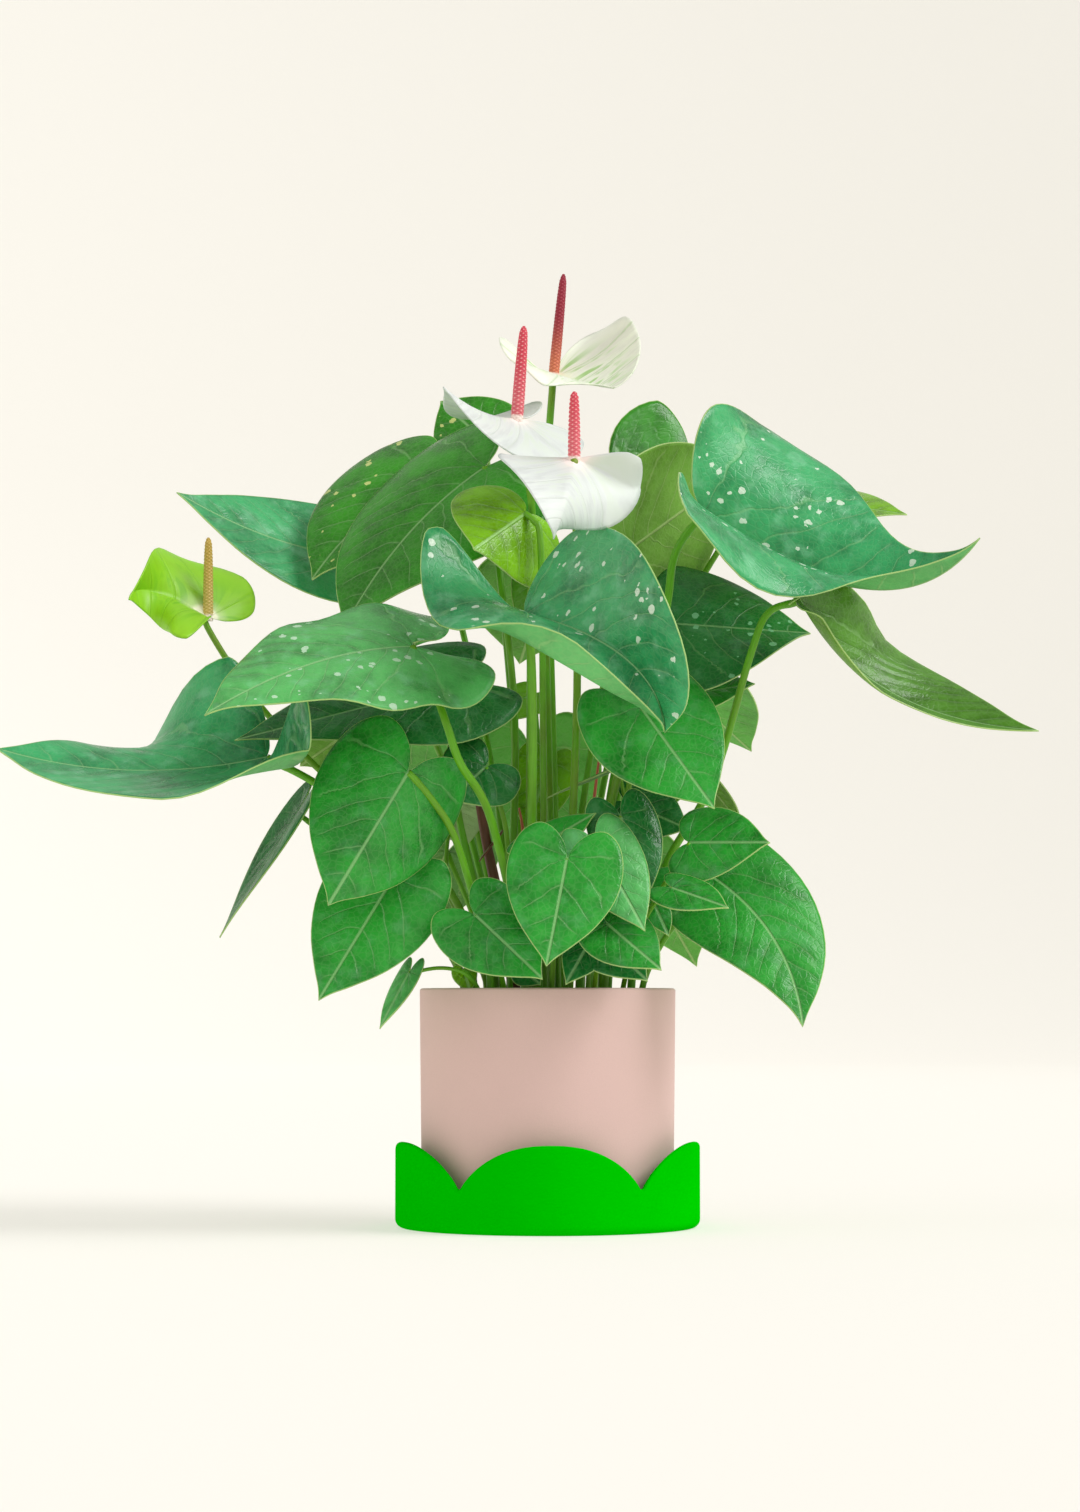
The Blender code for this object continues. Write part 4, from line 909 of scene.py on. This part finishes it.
class FLOWER_OT_stage(bpy.types.Operator):
    """Sets up the floor, the soft lights and the camera."""

    bl_idname = "flower.stage"
    bl_label = "Studio"

    def execute(self, context):
        scene = context.scene
        settings = scene.flower_stage
        # The backdrop is a round floor that turns up into a wall in one quarter circle, so that it
        # stands behind the flower from every side
        run = np.concatenate([[(0, 0), (400, 0), (2000, 0)], arc((5500, 1500), 1500, 270, 360, 16),
                              [(7000, 4000)]])
        mesh = surface("backdrop", lathe(run, 96), wrap_columns=True)
        mesh.materials.append(paper("backdrop_paper", settings.floor))
        floor = bpy.data.objects.new("backdrop", mesh)
        scene.collection.objects.link(floor)

        world = bpy.data.worlds.new("studio")
        world.use_nodes = True
        sky = world.node_tree.nodes["Background"]
        sky.inputs["Color"].default_value = (*linear("#FFFDF8"), 1)
        sky.inputs["Strength"].default_value = SKY_LIGHT
        scene.world = world
        scene.view_settings.view_transform = "Standard"

        # A wide soft key from the right and front, and a weak round fill from the left
        for name, kind, place, power, looks in (
                ("key", "SUN", (1.8, -0.5, 1.75), settings.key, {"angle": np.radians(35)}),
                ("fill", "AREA", (-1.9, -0.9, 1.5), settings.fill, {"shape": "DISK", "size": 1.5})):
            light = bpy.data.lights.new(name, kind)
            light.energy = power
            for key, value in looks.items():
                setattr(light, key, value)
            lamp = bpy.data.objects.new(name, light)
            lamp.location = place
            lamp.rotation_euler = (-Vector(place)).to_track_quat("-Z", "Y").to_euler()
            scene.collection.objects.link(lamp)

        camera = bpy.data.cameras.new("camera")
        camera.sensor_width = 36
        camera.lens = LENS * settings.distance / LENS_DISTANCE
        camera.clip_end = 50
        seen = bpy.data.objects.new("camera", camera)
        seen.location = (EYE[0], -settings.distance, EYE[1])
        seen.rotation_euler = (np.radians(TILT), 0, 0)
        scene.collection.objects.link(seen)
        scene.camera = seen
        return {"FINISHED"}


class FLOWER_OT_saucer(bpy.types.Operator):
    """Makes the green saucer whose wall ends in five round lobes."""

    bl_idname = "flower.saucer"
    bl_label = "Saucer"

    def execute(self, context):
        # Each lobe's rim is a power curve of the distance from the lobe's middle. The rows run
        # from the middle of the floor out, up the inner wall, over the rim and back below
        angle = np.linspace(0, 2 * np.pi, 360, endpoint=False)
        place = np.abs(((angle + np.pi / 2) / (2 * np.pi / LOBES) + 0.5) % 1 - 0.5) * 2
        rim = NOTCH_TOP + (LOBE_TOP - NOTCH_TOP) * (1 - place ** LOBE_FORM[0]) ** LOBE_FORM[1]
        rim = np.mean([np.roll(rim, k) for k in (-1, 0, 1)], axis=0)
        turned = angle + np.radians(SAUCER_TURN)
        half, low = SAUCER_WALL / 2, SAUCER_CORNER
        corner = (SAUCER_RADIUS - low, low)
        shares = np.linspace(0.1, 0.95, 8)

        def row(radius, height):
            return np.stack([radius * np.cos(turned), radius * np.sin(turned),
                             height + 0 * turned], -1)

        def wall(radius, shares):
            return [row(radius, low + (rim - half - low) * share) for share in shares]

        rows = [row(r, SAUCER_WALL) for r in (0, 30, 60)]
        rows += [row(*spot) for spot in arc(corner, low - SAUCER_WALL, 270, 360, 6)]
        rows += wall(SAUCER_RADIUS - SAUCER_WALL, shares)
        rows += [row(SAUCER_RADIUS - half + half * np.cos(bow), rim - half + half * np.sin(bow))
                 for bow in np.radians(np.linspace(180, 0, 9))]
        rows += wall(SAUCER_RADIUS, shares[::-1])
        rows += [row(*spot) for spot in arc(corner, low, 360, 270, 8)]
        rows += [row(r, 0) for r in (60, 30, 0)]
        mesh = surface("saucer_body", np.array(rows), wrap_columns=True)
        material = enamel("green_enamel", context.scene.flower_pot.saucer_green)
        put_object("saucer_body", mesh, "saucer", "saucer_green", material)
        return {"FINISHED"}


class FLOWER_OT_pot(bpy.types.Operator):
    """Makes the straight pink pot with its drain hole."""

    bl_idname = "flower.pot"
    bl_label = "Pot"

    def execute(self, context):
        base, rim, edge = POT_BASE_RADIUS, POT_RIM_RADIUS, POT_EDGE
        inner_foot, inner_top = base - POT_WALL, rim - POT_WALL
        low, floor, high = POT_FOOT + edge, POT_FOOT + POT_FLOOR, POT_TOP - edge
        wall = np.linspace(0, 1, 14)[1:-1, None]
        outer = np.array((rim, high)) * (1 - wall) + wall * (base, low)
        inner = np.array((inner_foot, floor + 3)) * (1 - wall) + wall * (inner_top, high)
        # From the rim down outside, in under the floor, up through the drain hole and up inside
        profile = np.concatenate([
            arc((rim - edge, high), edge, 90, 0, 6), outer,
            arc((base - edge, low), edge, 360, 270, 6), [(40, POT_FOOT)],
            arc((DRAIN_RADIUS + 1, POT_FOOT + 1), 1, 270, 180, 4),
            arc((DRAIN_RADIUS + 1, floor - 1), 1, 180, 90, 4), [(40, floor)],
            arc((inner_foot - 3, floor + 3), 3, 270, 360, 6), inner,
            arc((inner_top + edge, high), edge, 180, 90, 6)])
        settings = context.scene.flower_pot
        material = clay("pink_clay", settings.pot_pink, settings.grain)
        mesh = surface("pot_body", lathe(profile, 180), wrap_rows=True, wrap_columns=True)
        put_object("pot_body", mesh, "pot", "pot_pink", material)
        return {"FINISHED"}


def ground(x, y):
    """Height of the soil's surface over its level: two crossed waves and a finer one."""
    return (1.3 * np.sin(x / 9.0 + 1.2 * np.sin(y / 13.0)) + 1.0 * np.sin(y / 7.0 + x / 17.0)
            + 0.6 * np.sin(x / 3.1 - y / 4.3))


def scatter(name, count, sizes, flat, seed):
    """Broken grains on the soil: one rough ball of a few faces, copied to random places with
    random turns and sizes, all in one array."""
    random = np.random.default_rng(seed)
    ball = bmesh.new()
    bmesh.ops.create_icosphere(ball, subdivisions=2, radius=1)
    verts = np.array([v.co for v in ball.verts])
    faces = np.array([[v.index for v in f.verts] for f in ball.faces])
    ball.free()
    verts = verts * (1 + 0.22 * random.standard_normal((len(verts), 1)))
    distance = SOIL_SPREAD * np.sqrt(random.random(count))
    angle = 2 * np.pi * random.random(count)
    x, y = distance * np.cos(angle), distance * np.sin(angle)
    size = sizes[0] + (sizes[1] - sizes[0]) * random.random((count, 1))
    scale = size * np.stack([np.ones(count), 0.6 + 0.4 * random.random(count),
                             flat * (0.6 + 0.4 * random.random(count))], -1)
    turn, _ = np.linalg.qr(random.standard_normal((count, 3, 3)))
    turn = turn * np.sign(np.linalg.det(turn))[:, None, None]
    centre = np.stack([x, y, SOIL_TOP + ground(x, y) + 0.2 * size[:, 0]], -1)
    points = centre[:, None] + np.einsum("kij,kvj->kvi", turn, verts[None] * scale[:, None])
    mesh = bpy.data.meshes.new(name)
    corners = (faces[None] + np.arange(count)[:, None, None] * len(verts)).reshape(-1, 3)
    mesh.from_pydata((points.reshape(-1, 3) * MM).tolist(), [], corners.tolist())
    return mesh


class FLOWER_OT_soil(bpy.types.Operator):
    """Fills the pot with soil, and puts crumbs, bark and perlite on it."""

    bl_idname = "flower.soil"
    bl_label = "Soil"

    def execute(self, context):
        colour = context.scene.flower_pot.soil_dark
        soil = crumbs("potting_soil", colour, 2.5)
        edge = POT_RIM_RADIUS - POT_WALL - 0.8
        low = POT_FOOT + POT_FLOOR + 0.4
        top = [(r, SOIL_TOP) for r in np.linspace(0, edge, 36)]
        points = lathe([*top, (edge - 0.6, 80), (edge - 1.4, low + 4), (edge - 6, low), (0, low)],
                       110)
        rise = ground(points[..., 0], points[..., 1])
        rise[len(top):] = 0
        points[..., 2] += rise
        mesh = surface("soil_body", points, wrap_columns=True)
        put_object("soil_body", mesh, "soil", "soil_dark", soil)
        for name, count, sizes, flat, material, seed in (
                ("soil_crumbs", 520, (1.2, 3.4), 0.8, soil, 3),
                ("bark_chips", 90, (2.5, 5.5), 0.35,
                 crumbs("bark", linear("#6B4A30"), 4.0), 5),
                ("perlite_grains", 60, (1.0, 2.2), 0.9,
                 crumbs("perlite", linear("#E6E0D4"), 1.5), 8)):
            put_object(name, scatter(name, count, sizes, flat, seed), "soil", "soil_dark",
                       material)
        return {"FINISHED"}


def leaf_materials(settings):
    """The upper and under material of each leaf finish, and those with dried drops."""
    made = {}
    for tone, waxy in LEAF_SHEEN.items():
        colour, margin = getattr(settings, tone), settings.margin
        under = leaf_skin(tone + "_under", blended(colour, "#9CC258", 0.25), margin,
                          settings.relief, False)
        made[tone] = leaf_skin(tone, colour, margin, settings.relief, True, waxy), under
        if tone in DROPS:
            look = tone + "_drops"
            made[look] = leaf_skin(look, colour, margin, settings.relief, True, waxy,
                                   linear(DROPS[tone])), under
    return made


class FLOWER_OT_leaves(bpy.types.Operator):
    """Makes every leaf: its blade with veined skins, and its stalk."""

    bl_idname = "flower.leaves"
    bl_label = "Leaves"

    def execute(self, context):
        settings = context.scene.flower_leaves
        skins = leaf_materials(settings)
        stalk = stalk_skin("leaf_stalk", settings.stalk_green)
        leaders, slots = {}, {}
        for leaf in LEAVES:
            node = leaf.shoot or leaf.name
            slot = slots.setdefault(node, leaf.tone)
            look = leaf.tone + ("_drops" if leaf.name in DROPPED else "")
            put_blade(leaf, leaf.name + "_blade", node, slot, settings, *skins[look])
            if node in leaders:
                path = branch_path(leaders[node], leaf.joint)
            else:
                path = leaders[node] = stalk_path(leaf.root, leaf.joint, leaf.via)
            put_stalk(leaf.name + "_stalk", path, leaf.stem, stalk, node, slot)
        return {"FINISHED"}


class FLOWER_OT_blooms(bpy.types.Operator):
    """Makes the four blooms: spathe, spadix and stalk."""

    bl_idname = "flower.blooms"
    bl_label = "Blooms"

    def execute(self, context):
        settings = context.scene.flower_blooms
        leaves = context.scene.flower_leaves
        stalk = stalk_skin("flower_stalk", leaves.stalk_green, "#8A6A2A")
        # Base colour of each spike, and how pale its flowers' points are
        spikes = {tone: spadix_skin(tone, getattr(settings, tone), base, white)
                  for tone, base, white in (("spadix_red", "#EE8A62", 0.12),
                                            ("spadix_pink", "#F0808A", 0.75),
                                            ("spadix_mustard", "#D8C070", 0.2))}
        # Streaks and heart of each spathe, and the streaks of its underside
        spathes = {}
        for tone, *hexes in (("spathe_white", "#D5E0D0", "#FBEFEA", "#D0DC96"),
                             ("spathe_green_white", "#7CBE38", "#EEF4D8", "#B0D470"),
                             ("spathe_lime", "#6CB414", "#F4F6D8", "#8CC43C")):
            streak, heart, below = map(linear, hexes)
            spathes[tone] = [spathe_skin(tone + side, getattr(settings, tone), *colours,
                                         leaves.relief)
                             for side, *colours in (("", streak, heart), ("_under", below, below))]
        for bloom in BLOOMS:
            tone = bloom.spathe.tone
            put_blade(bloom.spathe, bloom.spathe.name + "_blade", bloom.spathe.name, tone, leaves,
                      *spathes[tone], rows=GRIDS[0][1])
            self.put_spadix(bloom, spikes[bloom.tone], settings.bump / MM)
            seat = np.array(bloom.seat, float)
            axis = unit(np.array(bloom.spadix, float) - seat)
            path = stalk_path(bloom.root, seat - axis * 4 * bloom.stem, bloom.via, arrival=axis)
            path = np.vstack([path, seat - axis * 0.3])
            put_stalk(bloom.name + "_stem", path, bloom.stem, stalk, bloom.name + "_stalk",
                      "stalk_green")
        return {"FINISHED"}

    def put_spadix(self, bloom, material, bump):
        """A spike whose radius follows a smooth profile, raised in a diamond lattice: the product
        of two sines of the two spiral counts."""
        seat, top = np.array(bloom.seat, float), np.array(bloom.spadix, float)
        length = np.linalg.norm(top - seat)
        rows, sides, around = 150, 60, 10
        share = np.linspace(0, 1, rows)
        swell = np.interp(share, *SPIKE_FORM)
        path = seat + (share - SPIKE_SINK / length * (1 - share))[:, None] * (top - seat)
        cell = 2 * np.pi * bloom.thick / around
        turn = np.linspace(0, around, sides + 1)[None, :]
        climb = (share * length / cell)[:, None]
        first, second = climb + turn / 2, climb - turn / 2
        raised = np.abs(np.sin(np.pi * first) * np.sin(np.pi * second))
        radii = swell[:, None] * bloom.thick + bump * raised[:, :-1]
        name = bloom.name + "_spike"
        lattice = np.stack([first, second], -1)
        lattice = np.concatenate([lattice[:1], lattice, lattice[-1:]])
        mesh = tube(name, path, radii, sides, {"lattice": lattice})
        put_object(name, mesh, bloom.name + "_spadix", bloom.tone, material)


class FLOWER_OT_shoots(bpy.types.Operator):
    """Makes the short old stem with its bract, and the coral shoots."""

    bl_idname = "flower.shoots"
    bl_label = "Stem and shoots"

    def execute(self, context):
        settings = context.scene.flower_blooms
        leaves = context.scene.flower_leaves
        skins = {tone: stalk_skin(tone, getattr(settings, tone), blush)
                 for tone, blush in (("stem_brown", "#4A3A22"), ("stem_coral", "#E89080"))}
        for stem in STEMS:
            path = stalk_path(stem.root, stem.path[-1], stem.path[:-1])
            line, place = along_path(path, 60)
            radii = np.interp(place, np.linspace(0, 1, len(path)),
                              [stem.radii[0]] * 2 + list(np.linspace(*stem.radii, len(path))[2:]))
            mesh = tube(stem.name + "_body", line, radii, 20)
            put_object(stem.name + "_body", mesh, stem.name, stem.tone, skins[stem.tone])
        brown = settings.stem_brown
        sides = [leaf_skin("bract" + side, brown, brown, leaves.relief, upper)
                 for side, upper in (("", True), ("_under", False))]
        put_blade(BRACT, "bract_blade", "main_stem", "stem_brown", leaves, *sides)
        return {"FINISHED"}


class FLOWER_PT_panel(bpy.types.Panel):
    """The flower's settings and one button for each group of pieces."""

    bl_idname = "FLOWER_PT_panel"
    bl_label = "Potted Flamingo Flower"
    bl_space_type = "VIEW_3D"
    bl_region_type = "UI"
    bl_category = "Flower"

    def draw(self, context):
        for heading, group in GROUPS.items():
            box = self.layout.box()
            box.label(text=heading)
            settings = getattr(context.scene, group[0])
            for name in group[1].__annotations__:
                box.prop(settings, name)
        for operator in OPERATORS:
            self.layout.operator(operator.bl_idname)


GROUPS = {"Leaves": ("flower_leaves", FlowerLeaves), "Blooms": ("flower_blooms", FlowerBlooms),
          "Pot": ("flower_pot", FlowerPot), "Studio": ("flower_stage", FlowerStage)}
OPERATORS = (FLOWER_OT_stage, FLOWER_OT_saucer, FLOWER_OT_pot, FLOWER_OT_soil, FLOWER_OT_leaves,
             FLOWER_OT_blooms, FLOWER_OT_shoots)


def register():
    for kind in (*[group[1] for group in GROUPS.values()], *OPERATORS, FLOWER_PT_panel):
        bpy.utils.register_class(kind)
    for name, kind in GROUPS.values():
        setattr(bpy.types.Scene, name, PointerProperty(type=kind))


def unregister():
    for name, _ in GROUPS.values():
        delattr(bpy.types.Scene, name)
    for kind in (FLOWER_PT_panel, *OPERATORS[::-1], *[group[1] for group in GROUPS.values()]):
        bpy.utils.unregister_class(kind)


def main():
    register()
    for operator in OPERATORS:
        getattr(bpy.ops.flower, operator.bl_idname.split(".")[1])()


if __name__ == "__main__":
    main()
